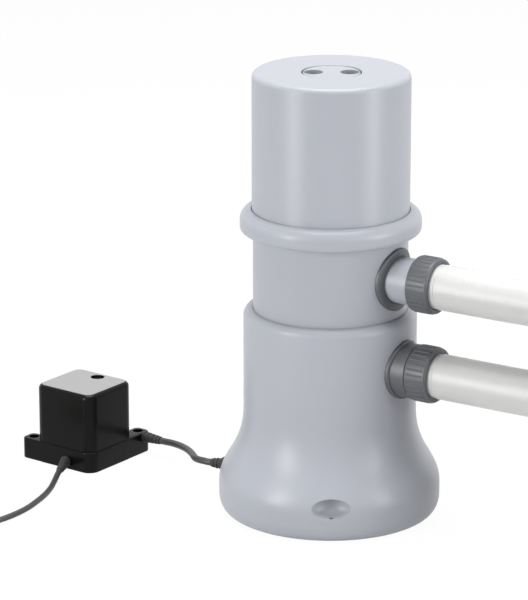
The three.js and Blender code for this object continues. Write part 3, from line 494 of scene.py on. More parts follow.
SLOT_FINISH = {
    "shell_grey": shell_plastic, "fitting_grey": fitting_plastic, "hose_white": hose_plastic,
    "black_plastic": case_plastic, "black_cord": lead_sheath, "black_rubber": soft_rubber,
    "steel": drawn_steel, "copper_wire": copper_turns, "brass": turned_brass,
    "filter_paper": filter_paper, "cartridge_blue": cap_plastic, "core_white": white_plastic,
}
STACKED = ("stator_core", "transformer_core")

# ---- meshes ---------------------------------------------------------------------


def placed(name, data):
    """A new object of this data, in the scene."""
    obj = bpy.data.objects.new(name, data)
    bpy.context.scene.collection.objects.link(obj)
    return obj


def shaped(name, verts, faces, place=None):
    mesh = bpy.data.meshes.new(name)
    mesh.from_pydata([tuple(v) for v in verts], [], faces)
    if place:
        mesh.transform(place)
    return mesh


def made(name, verts, faces, material, body="pump", place=None, crease=35):
    """A finished piece: its place in its mesh, smooth but for its sharp edges."""
    return finished(name, shaped(name, verts, faces, place), material, body, crease)


def finished(name, mesh, material, body="pump", crease=35):
    build = bmesh.new()
    build.from_mesh(mesh)
    bmesh.ops.remove_doubles(build, verts=build.verts, dist=1e-6)
    bmesh.ops.recalc_face_normals(build, faces=build.faces)
    if build.calc_volume(signed=True) < 0:
        bmesh.ops.reverse_faces(build, faces=build.faces)
    build.to_mesh(mesh)
    build.free()
    mesh.polygons.foreach_set("use_smooth", [True] * len(mesh.polygons))
    mesh.set_sharp_from_angle(angle=math.radians(crease))
    mesh.materials.clear()
    mesh.materials.append(material)
    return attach(placed(name, mesh), body)


def rounded(corners, steps=5):
    """Corners (x, y, radius) as a closed outline with arcs at the corners."""
    outline = []
    for i, (x, y, radius) in enumerate(corners):
        here = Vector((x, y))
        if radius == 0:
            outline.append(tuple(here))
            continue
        back = (Vector(corners[i - 1][:2]) - here).normalized()
        ahead = (Vector(corners[(i + 1) % len(corners)][:2]) - here).normalized()
        half = back.angle(ahead) / 2
        centre = here + (back + ahead).normalized() * radius / math.sin(half)
        first = here + back * radius / math.tan(half) - centre
        last = here + ahead * radius / math.tan(half) - centre
        for k in range(steps + 1):
            arm = first.lerp(last, k / steps).normalized() * radius
            outline.append(tuple(centre + arm))
    return outline


def band(low, high):
    """Faces between two closed rings of vertex numbers."""
    count = len(low)
    return [[low[i], low[(i + 1) % count], high[(i + 1) % count], high[i]] for i in range(count)]


def lathe(outline, sides=SHELL_SIDES, pointed=False):
    """Turned about Z from a closed (radius, height) outline, or one with both ends on the axis."""
    verts = []
    rings = []
    for radius, height in outline:
        if radius < 1e-7:
            rings.append([len(verts)] * sides)
            verts.append((0, 0, height))
            continue
        rings.append(list(range(len(verts), len(verts) + sides)))
        for i in range(sides):
            turn = math.tau * i / sides
            verts.append((radius * math.cos(turn), radius * math.sin(turn), height))
    faces = []
    pairs = list(zip(rings, rings[1:]))
    if not pointed:
        pairs.append((rings[-1], rings[0]))
    for low, high in pairs:
        faces += [list(dict.fromkeys(face)) for face in band(low, high)]
    return verts, [face for face in faces if len(face) > 2]


def drum(radius, low, high, sides):
    """A plain round bar about Z."""
    return lathe([(0, low), (radius, low), (radius, high), (0, high)], sides, pointed=True)


def shifted(shape, y):
    """A shape's vertices and faces, moved along Y."""
    return [(a, b + y, c) for a, b, c in shape[0]], shape[1]


ALONG_X = Matrix.Rotation(math.pi / 2, 4, "Y")


def along(start, heading):
    """Places a shape turned about Z at start, with Z along heading."""
    turn = Vector((0, 0, 1)).rotation_difference(heading).to_matrix().to_4x4()
    return Matrix.Translation(start) @ turn


def rounded_box(layers, size, corner, steps=6):
    """A box from (height, inset) layers of a rounded rectangle."""
    width, depth = size
    verts = []
    rings = []
    for height, inset in layers:
        w, d, r = width / 2 - inset, depth / 2 - inset, max(corner - inset, 0.0004)
        outline = rounded([(w, d, r), (-w, d, r), (-w, -d, r), (w, -d, r)], steps)
        rings.append(list(range(len(verts), len(verts) + len(outline))))
        verts += [(x, y, height) for x, y in outline]
    faces = [rings[0][::-1], rings[-1]]
    for low, high in zip(rings, rings[1:]):
        faces += band(low, high)
    return verts, faces


def edge_layers(low, high, radius, steps=4, both=True):
    """Layers of a box whose top edge, and bottom edge if both, is rounded."""
    layers = []
    for i in range(steps + 1):
        turn = math.pi / 2 * i / steps
        layers.append((high - radius + radius * math.sin(turn), radius * (1 - math.cos(turn))))
    if both:
        under = [(low + high - height, inset) for height, inset in reversed(layers)]
        return under + layers
    return [(low, 0)] + layers


def joined(name, base, tools):
    """The base mesh with each (operation, verts, faces, place) tool applied."""
    mesh = shaped(name, *base)
    outwards(mesh)
    obj = placed(name + " stock", mesh)
    helpers = []
    for i, (operation, *shape) in enumerate(tools):
        tool_mesh = shaped(f"{name} tool {i}", *shape)
        outwards(tool_mesh)
        tool = placed(tool_mesh.name, tool_mesh)
        helpers.append(tool)
        cut = obj.modifiers.new(operation, "BOOLEAN")
        cut.operation = operation
        cut.object = tool
        cut.solver = "EXACT"
    bpy.context.view_layer.update()
    result = evaluated(obj)
    for tool in helpers:
        bpy.data.objects.remove(tool)
    return result


def outwards(mesh):
    build = bmesh.new()
    build.from_mesh(mesh)
    bmesh.ops.remove_doubles(build, verts=build.verts, dist=1e-7)
    bmesh.ops.recalc_face_normals(build, faces=build.faces)
    build.to_mesh(mesh)
    build.free()


def evaluated(obj):
    """The object's final mesh; the object itself is removed."""
    graph = bpy.context.evaluated_depsgraph_get()
    mesh = bpy.data.meshes.new_from_object(obj.evaluated_get(graph))
    bpy.data.objects.remove(obj)
    return mesh


def smooth_path(points, step):
    """A centripetal Catmull-Rom curve through the points, at even steps."""
    p = [Vector(q) for q in points]
    p = [p[0] * 2 - p[1]] + p + [p[-1] * 2 - p[-2]]
    dense = []
    for a, b, c, d in zip(p, p[1:], p[2:], p[3:]):
        knots = [0.0]
        for u, v in ((a, b), (b, c), (c, d)):
            knots.append(knots[-1] + max((v - u).length, 1e-6) ** 0.5)
        t0, t1, t2, t3 = knots
        pieces = max(2, round((c - b).length / 0.002))
        for k in range(pieces):
            t = t1 + (t2 - t1) * k / pieces
            a1 = a.lerp(b, (t - t0) / (t1 - t0))
            a2 = b.lerp(c, (t - t1) / (t2 - t1))
            a3 = c.lerp(d, (t - t2) / (t3 - t2))
            b1 = a1.lerp(a2, (t - t0) / (t2 - t0))
            b2 = a2.lerp(a3, (t - t1) / (t3 - t1))
            dense.append(b1.lerp(b2, (t - t1) / (t2 - t1)))
    dense.append(p[-2])
    return evenly(dense, step)


def evenly(points, step):
    total = path_length(points)
    count = max(2, round(total / step))
    wanted = [total * i / count for i in range(count + 1)]
    result = []
    travelled = 0.0
    k = 0
    for goal in wanted:
        while k < len(points) - 2 and travelled + (points[k + 1] - points[k]).length < goal:
            travelled += (points[k + 1] - points[k]).length
            k += 1
        run = (points[k + 1] - points[k]).length
        result.append(points[k].lerp(points[k + 1], min(1, (goal - travelled) / run)))
    return result


def path_length(points):
    return sum((b - a).length for a, b in zip(points, points[1:]))


def tube(path, radius_at, sides):
    """A closed tube along an even path; radius_at takes the distance travelled."""
    step = (path[1] - path[0]).length
    tangent = (path[1] - path[0]).normalized()
    side = tangent.orthogonal().normalized()
    verts = []
    for k, point in enumerate(path):
        ahead = path[min(k + 1, len(path) - 1)]
        behind = path[max(k - 1, 0)]
        turned = (ahead - behind).normalized()
        side = (tangent.rotation_difference(turned) @ side).normalized()
        tangent = turned
        other = tangent.cross(side)
        radius = radius_at(k * step)
        for i in range(sides):
            turn = math.tau * i / sides
            verts.append(point + side * radius * math.cos(turn) + other * radius * math.sin(turn))
    rings = [list(range(k * sides, (k + 1) * sides)) for k in range(len(path))]
    faces = [rings[0][::-1], rings[-1]]
    for low, high in zip(rings, rings[1:]):
        faces += band(low, high)
    return verts, faces


# ---- node trees --------------------------------------------------------------------


def node_tree(name, inputs):
    """A geometry node tree with a geometry in and out and the named inputs."""
    tree = bpy.data.node_groups.get(name)
    if tree:
        return tree, False
    tree = bpy.data.node_groups.new(name, "GeometryNodeTree")
    face = tree.interface
    face.new_socket("Geometry", in_out="INPUT", socket_type="NodeSocketGeometry")
    face.new_socket("Geometry", in_out="OUTPUT", socket_type="NodeSocketGeometry")
    for label, kind in inputs:
        face.new_socket(label, in_out="INPUT", socket_type=kind)
    return tree, True


def close_tree(tree, source, geometry):
    """Ends a tree in Realize Instances and Set Material."""
    real = linked(tree, "GeometryNodeRealizeInstances", Geometry=geometry)
    coat = linked(
        tree, "GeometryNodeSetMaterial", Geometry=real.outputs["Geometry"],
        Material=source.outputs["Material"],
    )
    out = tree.nodes.new("NodeGroupOutput")
    tree.links.new(coat.outputs["Geometry"], out.inputs[0])


def together(tree, *parts):
    both = tree.nodes.new("GeometryNodeJoinGeometry")
    for part in parts:
        tree.links.new(part, both.inputs[0])
    return both.outputs["Geometry"]


def moved_up(tree, geometry, height):
    rise = linked(tree, "ShaderNodeCombineXYZ", Z=height)
    place = linked(tree, "GeometryNodeTransform", Geometry=geometry, Translation=rise.outputs["Vector"])
    return place.outputs["Geometry"]


def rib_tree():
    """Upright round ribs, evenly round Z, joined to the body that comes in."""
    tree, fresh = node_tree("grip ribs", [
        ("Count", "NodeSocketInt"), ("Ring Radius", "NodeSocketFloat"), ("Rib Radius", "NodeSocketFloat"),
        ("Length", "NodeSocketFloat"), ("Height", "NodeSocketFloat"), ("Material", "NodeSocketMaterial"),
    ])
    if not fresh:
        return tree
    source = tree.nodes.new("NodeGroupInput")
    circle = linked(
        tree, "GeometryNodeCurvePrimitiveCircle", Resolution=source.outputs["Count"],
        Radius=source.outputs["Ring Radius"],
    )
    rib = linked(
        tree, "GeometryNodeMeshCylinder", Vertices=10, Radius=source.outputs["Rib Radius"],
        Depth=source.outputs["Length"],
    )
    copies = linked(
        tree, "GeometryNodeInstanceOnPoints", Points=circle.outputs["Curve"], Instance=rib.outputs["Mesh"],
    )
    lifted = moved_up(tree, copies.outputs["Instances"], source.outputs["Height"])
    close_tree(tree, source, together(tree, lifted, source.outputs["Geometry"]))
    return tree


def pleat_tree():
    """A pleated sleeve about Z: a star outline with rounded folds, raised to a length."""
    tree, fresh = node_tree("pleats", [
        ("Count", "NodeSocketInt"), ("Inner Radius", "NodeSocketFloat"), ("Outer Radius", "NodeSocketFloat"),
        ("Fold Radius", "NodeSocketFloat"), ("Length", "NodeSocketFloat"), ("Height", "NodeSocketFloat"),
        ("Material", "NodeSocketMaterial"),
    ])
    if not fresh:
        return tree
    source = tree.nodes.new("NodeGroupInput")
    star = linked(
        tree, "GeometryNodeCurveStar", Points=source.outputs["Count"],
        Inner_Radius=source.outputs["Inner Radius"], Outer_Radius=source.outputs["Outer Radius"],
    )
    folds = linked(
        tree, "GeometryNodeFilletCurve", Curve=star.outputs["Curve"], Radius=source.outputs["Fold Radius"],
        Limit_Radius=True,
    )
    folds.mode = "POLY"
    folds.inputs["Count"].default_value = 2
    base = linked(tree, "GeometryNodeFillCurve", Curve=folds.outputs["Curve"])
    rise = linked(tree, "ShaderNodeCombineXYZ", Z=source.outputs["Length"])
    raised = linked(
        tree, "GeometryNodeExtrudeMesh", Mesh=base.outputs["Mesh"], Offset=rise.outputs["Vector"],
        Individual=False,
    )
    under = linked(tree, "GeometryNodeFlipFaces", Mesh=base.outputs["Mesh"])
    both = together(tree, raised.outputs["Mesh"], under.outputs["Mesh"])
    closed = linked(tree, "GeometryNodeMergeByDistance", Geometry=both, Distance=1e-6)
    close_tree(tree, source, moved_up(tree, closed.outputs["Geometry"], source.outputs["Height"]))
    return tree


def grown(name, tree, values, base=((), ())):
    """The mesh that a node tree makes from the base with these input values."""
    mesh = shaped(name, *base)
    outwards(mesh)
    obj = placed(name + " stock", mesh)
    modifier = obj.modifiers.new(tree.name, "NODES")
    modifier.node_group = tree
    for item in tree.interface.items_tree:
        if item.in_out == "INPUT" and item.name in values:
            modifier[item.identifier] = values[item.name]
    bpy.context.view_layer.update()
    return evaluated(obj)


# ---- hoses and leads ------------------------------------------------------------------


def hose_points(route):
    """World points of a hose from its (distance, height) route."""
    points = []
    for distance, height in route:
        x, y = distance, 0.0
        if distance > HOSE_TANGENT:
            turn = (distance - HOSE_TANGENT) / HOSE_TURN
            x = HOSE_TANGENT + HOSE_TURN * math.sin(turn)
            y = HOSE_TURN * (1 - math.cos(turn))
        points.append(TO_PORTS @ Vector((x, y, height)))
    return points


def coil_points():
    """Turns of the mains lead: in along the lower layer, out along the upper one."""
    columns = list(range(COIL_COLUMNS))
    turns = [(COIL_INNER + COIL_PITCH * c, COIL_LOW) for c in reversed(columns)]
    turns += [(COIL_INNER + COIL_PITCH * c, COIL_LOW + COIL_PITCH) for c in columns]
    turns.append(turns[-1])
    points = []
    per_turn = 48
    for (radius, height), (next_radius, next_height) in zip(turns, turns[1:]):
        for k in range(per_turn):
            part = k / per_turn
            move = max(0.0, (part - 0.8) / 0.2)
            ease = move * move * (3 - 2 * move)
            r = radius + (next_radius - radius) * ease
            z = height + (next_height - height) * ease
            turn = math.pi / 2 + math.tau * part
            points.append(COIL_CENTRE + Vector((r * math.cos(turn), r * math.sin(turn), z)))
    points.append(points[0] + Vector((0, 0, COIL_PITCH)))
    return points


class PUMP_OT_leads(bpy.types.Operator):
    """Low-voltage lead, and the mains lead with its coil and tie"""

    bl_idname = "filter_pump.leads"
    bl_label = "Leads"

    def execute(self, context):
        sheath = lead_sheath()
        path = smooth_path(LOW_VOLTAGE_ROUTE, 0.002)
        lead = made("low_voltage_lead", *tube(path, lambda s: LEAD_RADIUS, 20), sheath)
        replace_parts(lead, "low_voltage_cord")
        path = smooth_path(MAINS_ROUTE, 0.0025)[:-1] + coil_points() + smooth_path(PLUG_ROUTE, 0.0025)[1:]
        path = evenly(path, 0.0025)
        mains = made("mains_lead", *tube(path, lambda s: MAINS_RADIUS, 16), sheath)
        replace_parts(mains, "mains_cord", "mains_cord_coil", "plug_lead")
        tie = self.tie()
        plug = make_plug()
        return {"FINISHED"}

    def tie(self):
        """A flat tie round the coil's turns."""
        middle = COIL_INNER + COIL_PITCH * (COIL_COLUMNS - 1) / 2
        half = COIL_PITCH * COIL_COLUMNS / 2 + 0.0004
        low, high = 0.00012, COIL_LOW + COIL_PITCH + MAINS_RADIUS + 0.0004
        verts = []
        faces = []
        corners = ((half, high), (-half, high), (-half, low), (half, low))
        outline = rounded([(x, z, 0.0024) for x, z in corners])
        count = len(outline)
        centre = Vector((0, (low + high) / 2))
        for width in (-0.002, 0.002):
            for grow in (0, 0.0006):
                for x, z in outline:
                    out = (Vector((x, z)) - centre).normalized() * grow
                    verts.append((middle + x + out.x, width, max(0.00005, z + out.y)))
        rings = [list(range(k * count, (k + 1) * count)) for k in range(4)]
        for a, b in ((0, 1), (1, 3), (3, 2), (2, 0)):
            faces += band(rings[a], rings[b])
        place = Matrix.Translation(COIL_CENTRE) @ Matrix.Rotation(math.radians(200), 4, "Z")
        return made("coil_tie", verts, faces, soft_rubber(), place=place)


def make_plug():
    """The plug's moulded body, with a waist to grip and a ribbed relief."""
    long, wide, tall = PLUG_SIZE
    layers = []
    steps = 14
    for i in range(steps + 1):
        part = i / steps
        waist = 0.0018 * math.sin(math.pi * part) ** 2
        end = 0.0026 * (1 - math.sqrt(1 - max(0, 1 - part * 6) ** 2))
        face = 0.0010 * (1 - math.sqrt(1 - max(0, part * 12 - 11) ** 2))
        layers.append((long * part, waist + end + face))
    # The layers stand on Z; the body lies along X.
    verts, faces = rounded_box(layers, (tall, wide), 0.007)
    verts = [(z, y, -x) for x, y, z in verts]
    relief = relief_shape(RELIEF_RADIUS, MAINS_RADIUS + 0.0004, PLUG_RELIEF)
    start = len(verts)
    verts += [(-z + 0.001, x, y) for x, y, z in relief[0]]
    faces += [[start + i for i in face] for face in relief[1]]
    plug = made("plug", verts, faces, case_plastic(), place=PLUG_PLACE)
    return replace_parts(plug, "plug_body")


def relief_shape(root, tip, run, rings=5):
    """A tapered cord relief along Z with grooves round it."""
    outline = [(0, 0), (root, 0)]
    for i in range(rings):
        low, high = run * (i + 0.35) / rings, run * (i + 0.85) / rings
        here = root + (tip - root) * (i + 0.35) / rings
        there = root + (tip - root) * (i + 0.85) / rings
        outline += [(here, low), (here - 0.0007, low + 0.0003)]
        outline += [(there - 0.0007, high - 0.0003), (there, high)]
    outline += [(tip, run - 0.0004), (tip - 0.0003, run), (0, run)]
    return lathe(outline, 28, pointed=True)


class PUMP_OT_reliefs(bpy.types.Operator):
    """Cord reliefs on the pump's foot and on the transformer"""

    bl_idname = "filter_pump.reliefs"
    bl_label = "Cord reliefs"

    def execute(self, context):
        rubber = soft_rubber()
        direction = Vector((math.cos(GLAND_ANGLE), math.sin(GLAND_ANGLE), 0))
        neck = LEAD_RADIUS + 0.0017
        # Points are (radius, distance from the pump's axis), with two grooves at the thin end.
        outline = [
            (0, 0.086), (GLAND_RADIUS, 0.086), (GLAND_RADIUS, 0.089), (neck, 0.089), (neck, 0.0945),
            (GLAND_RADIUS, 0.0945), (GLAND_RADIUS, 0.0965), (GLAND_RADIUS - 0.0008, 0.0982),
            (neck, 0.0990), (neck, 0.1003), (neck - 0.0007, 0.1006), (neck - 0.0007, 0.1018), (neck, 0.1021),
            (neck - 0.0002, 0.1034), (neck - 0.0009, 0.1037), (neck - 0.0009, 0.1049),
            (neck - 0.0004, 0.1052),
            (LEAD_RADIUS + 0.0006, 0.108), (0, 0.108),
        ]
        shape = lathe(outline, 32, pointed=True)
        gland = made("motor_lead_relief", *shape, rubber, place=along((0, 0, GLAND_HEIGHT), direction))
        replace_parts(gland, "motor_lead_gland")
        shape = relief_shape(RELIEF_RADIUS, MAINS_RADIUS + 0.0006, RELIEF_LENGTH + 0.003)
        place = along(MAINS_EXIT - MAINS_HEADING * 0.003, MAINS_HEADING)
        relief = made("mains_lead_relief", *shape, rubber, place=place)
        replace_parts(relief, "mains_relief")
        lug_x = BOX_LENGTH / 2 + TRAY_EDGE + LUG_REACH - LUG / 2
        start = Vector((lug_x, BOX_SHIFT - BOX_WIDTH / 2 - TRAY_EDGE, OUTLET_HEIGHT))
        shape = relief_shape(RELIEF_RADIUS - 0.0005, LEAD_RADIUS + 0.0006, OUTLET_RELIEF, 4)
        place = BOX_PLACE @ along(start, Vector((0, -1, 0)))
        relief = made("outlet_lead_relief", *shape, rubber, place=place)
        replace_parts(relief, "outlet_relief")
        return {"FINISHED"}


class PUMP_OT_hoses(bpy.types.Operator):
    """Both hoses, with the cuffs and nuts at their two ends"""

    bl_idname = "filter_pump.hoses"
    bl_label = "Hoses, cuffs and nuts"

    def execute(self, context):
        look = settings().hoses

        def ridge(distance):
            wave = 0.5 - 0.5 * math.cos(math.tau * distance / look.pitch)
            return HOSE_RADIUS - look.depth * wave ** 2

        for side, route in (("upper", UPPER_HOSE_ROUTE), ("lower", LOWER_HOSE_ROUTE)):
            points = hose_points(route)
            path = smooth_path(points, look.pitch / 5)
            hose = made(f"{side}_hose_tube", *tube(path, ridge, 40), hose_plastic(), crease=80)
            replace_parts(hose, f"{side}_hose")
            height = points[0].z
            near = TO_PORTS @ Matrix.Translation((0, 0, height)) @ ALONG_X
            back = (path[-2] - path[-1]).normalized()
            far = along(path[-1] - back * (CUFF_END + GAP), back)
            near_nut = self.nut(f"{side}_hose_nut_grip", near, f"{side}_nut", f"{side}_hose_nut")
            far_nut = self.nut(f"{side}_far_nut_grip", far, f"{side}_far_nut", f"{side}_far_nut")
            near_cuff = self.cuff(f"{side}_hose_end", near, f"{side}_hose_cuff")
            far_cuff = self.cuff(f"{side}_far_end", far, f"{side}_far_cuff")
        return {"FINISHED"}

    def nut(self, name, place, body, node):
        look = settings().fittings
        hole = CUFF_RADIUS + 0.0004
        shoulder = NUT_END - NUT_WALL
        outline = rounded([
            (NUT_BORE, NUT_START, 0.0004), (NUT_RADIUS, NUT_START, 0.0008), (NUT_RADIUS, NUT_END, 0.0022),
            (hole, NUT_END, 0.0006), (hole, shoulder, 0), (NUT_BORE, shoulder, 0.0004),
        ])
        mesh = grown(name, rib_tree(), {
            "Count": look.ribs, "Ring Radius": NUT_RADIUS - look.rib_radius * 0.45,
            "Rib Radius": look.rib_radius, "Length": NUT_END - NUT_START - 0.005,
            "Height": (NUT_END + NUT_START) / 2 - 0.0008, "Material": fitting_plastic(),
        }, lathe(outline, 96))
        mesh.transform(place)
        nut = finished(name, mesh, fitting_plastic(), body)
        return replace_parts(nut, node)

    def cuff(self, name, place, node):
        lip = CUFF_RADIUS + 0.001
        step = CUFF_START + CUFF_FLANGE
        outline = rounded([
            (CUFF_BORE, CUFF_START, 0.0004), (lip, CUFF_START, 0.0004), (lip, step, 0.0004),
            (CUFF_RADIUS, step, 0), (CUFF_RADIUS, CUFF_END, 0.0005), (CUFF_BORE, CUFF_END, 0),
        ], 3)
        cuff = made(name, *lathe(outline, 72), hose_plastic(), place=place)
        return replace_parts(cuff, node)


# ---- housings ------------------------------------------------------------------------


def flare(inset, steps=18):
    """Outside of the bell foot, floor to straight wall, drawn in by inset."""
    radius = FLARE_RADIUS - inset
    straight = LOWER_RADIUS - inset
    points = []
    for i in range(9):
        turn = math.pi / 2 * i / 8
        depth = FOOT_HEIGHT - GAP - inset
        points.append((radius - FOOT_DEPTH * (1 - math.sin(turn)), FOOT_HEIGHT - depth * math.cos(turn)))
    rise = FLARE_HIGH - FLARE_LOW
    knots = [
        Vector((radius, FLARE_LOW)), Vector((radius, FLARE_LOW + rise * 0.32)),
        Vector((straight, FLARE_LOW + rise * 0.41)), Vector((straight, FLARE_HIGH)),
    ]
    for i in range(steps + 1):
        t = i / steps
        weights = ((1 - t) ** 3, 3 * t * (1 - t) ** 2, 3 * t * t * (1 - t), t ** 3)
        points.append(tuple(sum((k * w for k, w in zip(knots, weights)), Vector((0, 0)))))
    return points


def spout(start, height):
    """A tube along the port's axis, and the bore to cut through it."""
    radii = ((SPOUT_BORE, start), (SPOUT_RADIUS, start), (SPOUT_RADIUS, SPOUT_END), (SPOUT_BORE, SPOUT_END))
    pipe = lathe(radii, 64)
    bore = drum(SPOUT_BORE, start - 0.012, SPOUT_END, 64)
    place = TO_PORTS @ Matrix.Translation((0, 0, height)) @ ALONG_X
    return [("UNION", *pipe, place), ("DIFFERENCE", *bore, place)]


class PUMP_OT_lower_housing(bpy.types.Operator):
    """Bell-footed lower housing with its screw niches, and the base plate under it"""

    bl_idname = "filter_pump.lower_housing"
    bl_label = "Lower housing"

    def execute(self, context):
        centre = Vector((LOWER_RADIUS - SHOULDER_ROUND, SHOULDER_TOP - SHOULDER_ROUND))
        shoulder = []
        for i in range(11):
            turn = math.pi / 2 * i / 10
            arm = (SHOULDER_ROUND * math.cos(turn), SHOULDER_ROUND * math.sin(turn))
            shoulder.append((centre.x + arm[0], centre.y + arm[1]))
        outline = [
            *flare(0), *shoulder, (BODY_RADIUS + GAP, SHOULDER_TOP), (BODY_RADIUS + GAP, CHAMBER_LOW),
            (LOWER_RADIUS - WALL, CHAMBER_LOW - 0.008), (LOWER_RADIUS - WALL, FOOT_TAPER),
            (BASE_RADIUS + GAP, FOOT_INSIDE), (BASE_RADIUS + GAP, GAP),
        ]
        tools = []
        for angle in (-90, 90):
            turn = Matrix.Rotation(math.radians(angle), 4, "Z")
            pocket = self.pocket()
            low = FOOT_HEIGHT + 0.0005
            hole = drum(NICHE_BORE, low, NICHE_HEIGHT, 24)
            tools.append(("DIFFERENCE", *pocket, turn @ Matrix.Translation((NICHE_CENTRE, 0, NICHE_HEIGHT))))
            tools.append(("DIFFERENCE", *hole, turn @ Matrix.Translation((NICHE_HOLE, 0, 0))))
        tools += spout(LOWER_RADIUS - WALL / 2, LOWER_PORT)
        mesh = joined("lower_shell", lathe(outline), tools)
        shell = finished("lower_shell", mesh, shell_plastic())
        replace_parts(shell, "lower_housing")
        outline = rounded([
            (0, 0, 0), (BASE_RADIUS, 0, 0.0008), (BASE_RADIUS, BASE_THICK, 0.0008), (0, BASE_THICK, 0),
        ])
        plate = made("floor_plate", *lathe(outline, 96, True), shell_plastic())
        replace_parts(plate, "base_plate")
        return {"FINISHED"}

    def pocket(self):
        """A flattened round pocket with a flat floor."""
        floor = NICHE_FLOOR - NICHE_HEIGHT
        outline = [(0, floor)]
        start = math.asin(floor / NICHE_TALL)
        for i in range(15):
            turn = start + (math.pi / 2 - start) * i / 14
            outline.append((NICHE_WIDE * math.cos(turn), NICHE_TALL * math.sin(turn)))
        outline[-1] = (0, NICHE_TALL)
        return lathe(outline, 48, pointed=True)


class PUMP_OT_filter_housing(bpy.types.Operator):
    """Middle housing that holds the cartridge, with the rim, seal groove and upper spout"""

    bl_idname = "filter_pump.filter_housing"
    bl_label = "Filter housing"

    def execute(self, context):
        inner = BODY_RADIUS - WALL - 0.0005
        low = RIM_TOP - RIM_HEIGHT
        groove = SEAL_CENTRE - SEAL_GROOVE, SEAL_CENTRE + SEAL_GROOVE
        floor = CHAMBER_LOW + CHAMBER_FLOOR
        hole = OUTLET_RADIUS + GAP
        outline = rounded([
            (hole, CHAMBER_LOW, 0), (BODY_RADIUS, CHAMBER_LOW, 0), (BODY_RADIUS, low, 0.0012),
            (RIM_RADIUS, low, 0.0006), (RIM_RADIUS, RIM_TOP, 0.0006), (groove[1], RIM_TOP, 0),
            (groove[1], RIM_TOP - 2 * SEAL_GROOVE, 0), (groove[0], RIM_TOP - 2 * SEAL_GROOVE, 0),
            (groove[0], RIM_TOP, 0), (inner, RIM_TOP, 0.0006), (inner, floor, 0.003), (hole, floor, 0),
        ])
        mesh = joined("filter_shell", lathe(outline), spout(BODY_RADIUS - WALL / 2, UPPER_PORT))
        shell = finished("filter_shell", mesh, shell_plastic())
        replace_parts(shell, "filter_housing")
        return {"FINISHED"}


class PUMP_OT_port_flanges(bpy.types.Operator):
    """Saddle flanges on the two ports, the lower one with a collar, dark in the fitting colour partly as
    painted shade round the roots of the ports
    """

    bl_idname = "filter_pump.port_flanges"
    bl_label = "Port flanges"

    def execute(self, context):
        shape = self.saddle(BODY_RADIUS, UPPER_FLANGE)
        self.place("upper_saddle_shade", shape, UPPER_PORT, "upper_port_flange")
        shape = self.saddle(LOWER_RADIUS, LOWER_FLANGE)
        hole = SPOUT_RADIUS + GAP
        start = LOWER_RADIUS - 0.001
        collar = rounded([
            (hole, start, 0), (COLLAR_RADIUS, start, 0), (COLLAR_RADIUS, COLLAR_END, 0.0008),
            (hole, COLLAR_END, 0.0004),
        ])
        verts, faces = lathe(collar, 72)
        verts = [(z, y, x) for x, y, z in verts]
        first = len(shape[0])
        shape[0].extend(verts)
        shape[1].extend([[first + i for i in face] for face in faces])
        self.place("lower_saddle_shade", shape, LOWER_PORT, "lower_port_flange")
        return {"FINISHED"}

    def saddle(self, host, radius):
        """A ring of this outer radius that follows the curve of its round host."""
        hole = SPOUT_RADIUS + GAP
        rim = rounded([
            (hole, GAP, 0), (radius, GAP, 0), (radius, PORT_FLANGE, 0.0012), (hole, PORT_FLANGE, 0.0004),
        ])
        verts = []
        faces = []
        sides = 96
        for r, proud in rim:
            for i in range(sides):
                turn = math.tau * i / sides
                y, z = r * math.cos(turn), r * math.sin(turn)
                verts.append((math.sqrt((host + proud) ** 2 - y * y), y, z))
        rings = [list(range(k * sides, (k + 1) * sides)) for k in range(len(rim))]
        for low, high in zip(rings, rings[1:] + rings[:1]):
            faces += band(low, high)
        return verts, faces

    def place(self, name, shape, height, node):
        place = TO_PORTS @ Matrix.Translation((0, 0, height))
        flange = made(name, *shape, fitting_plastic(), place=place)
        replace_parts(flange, node)


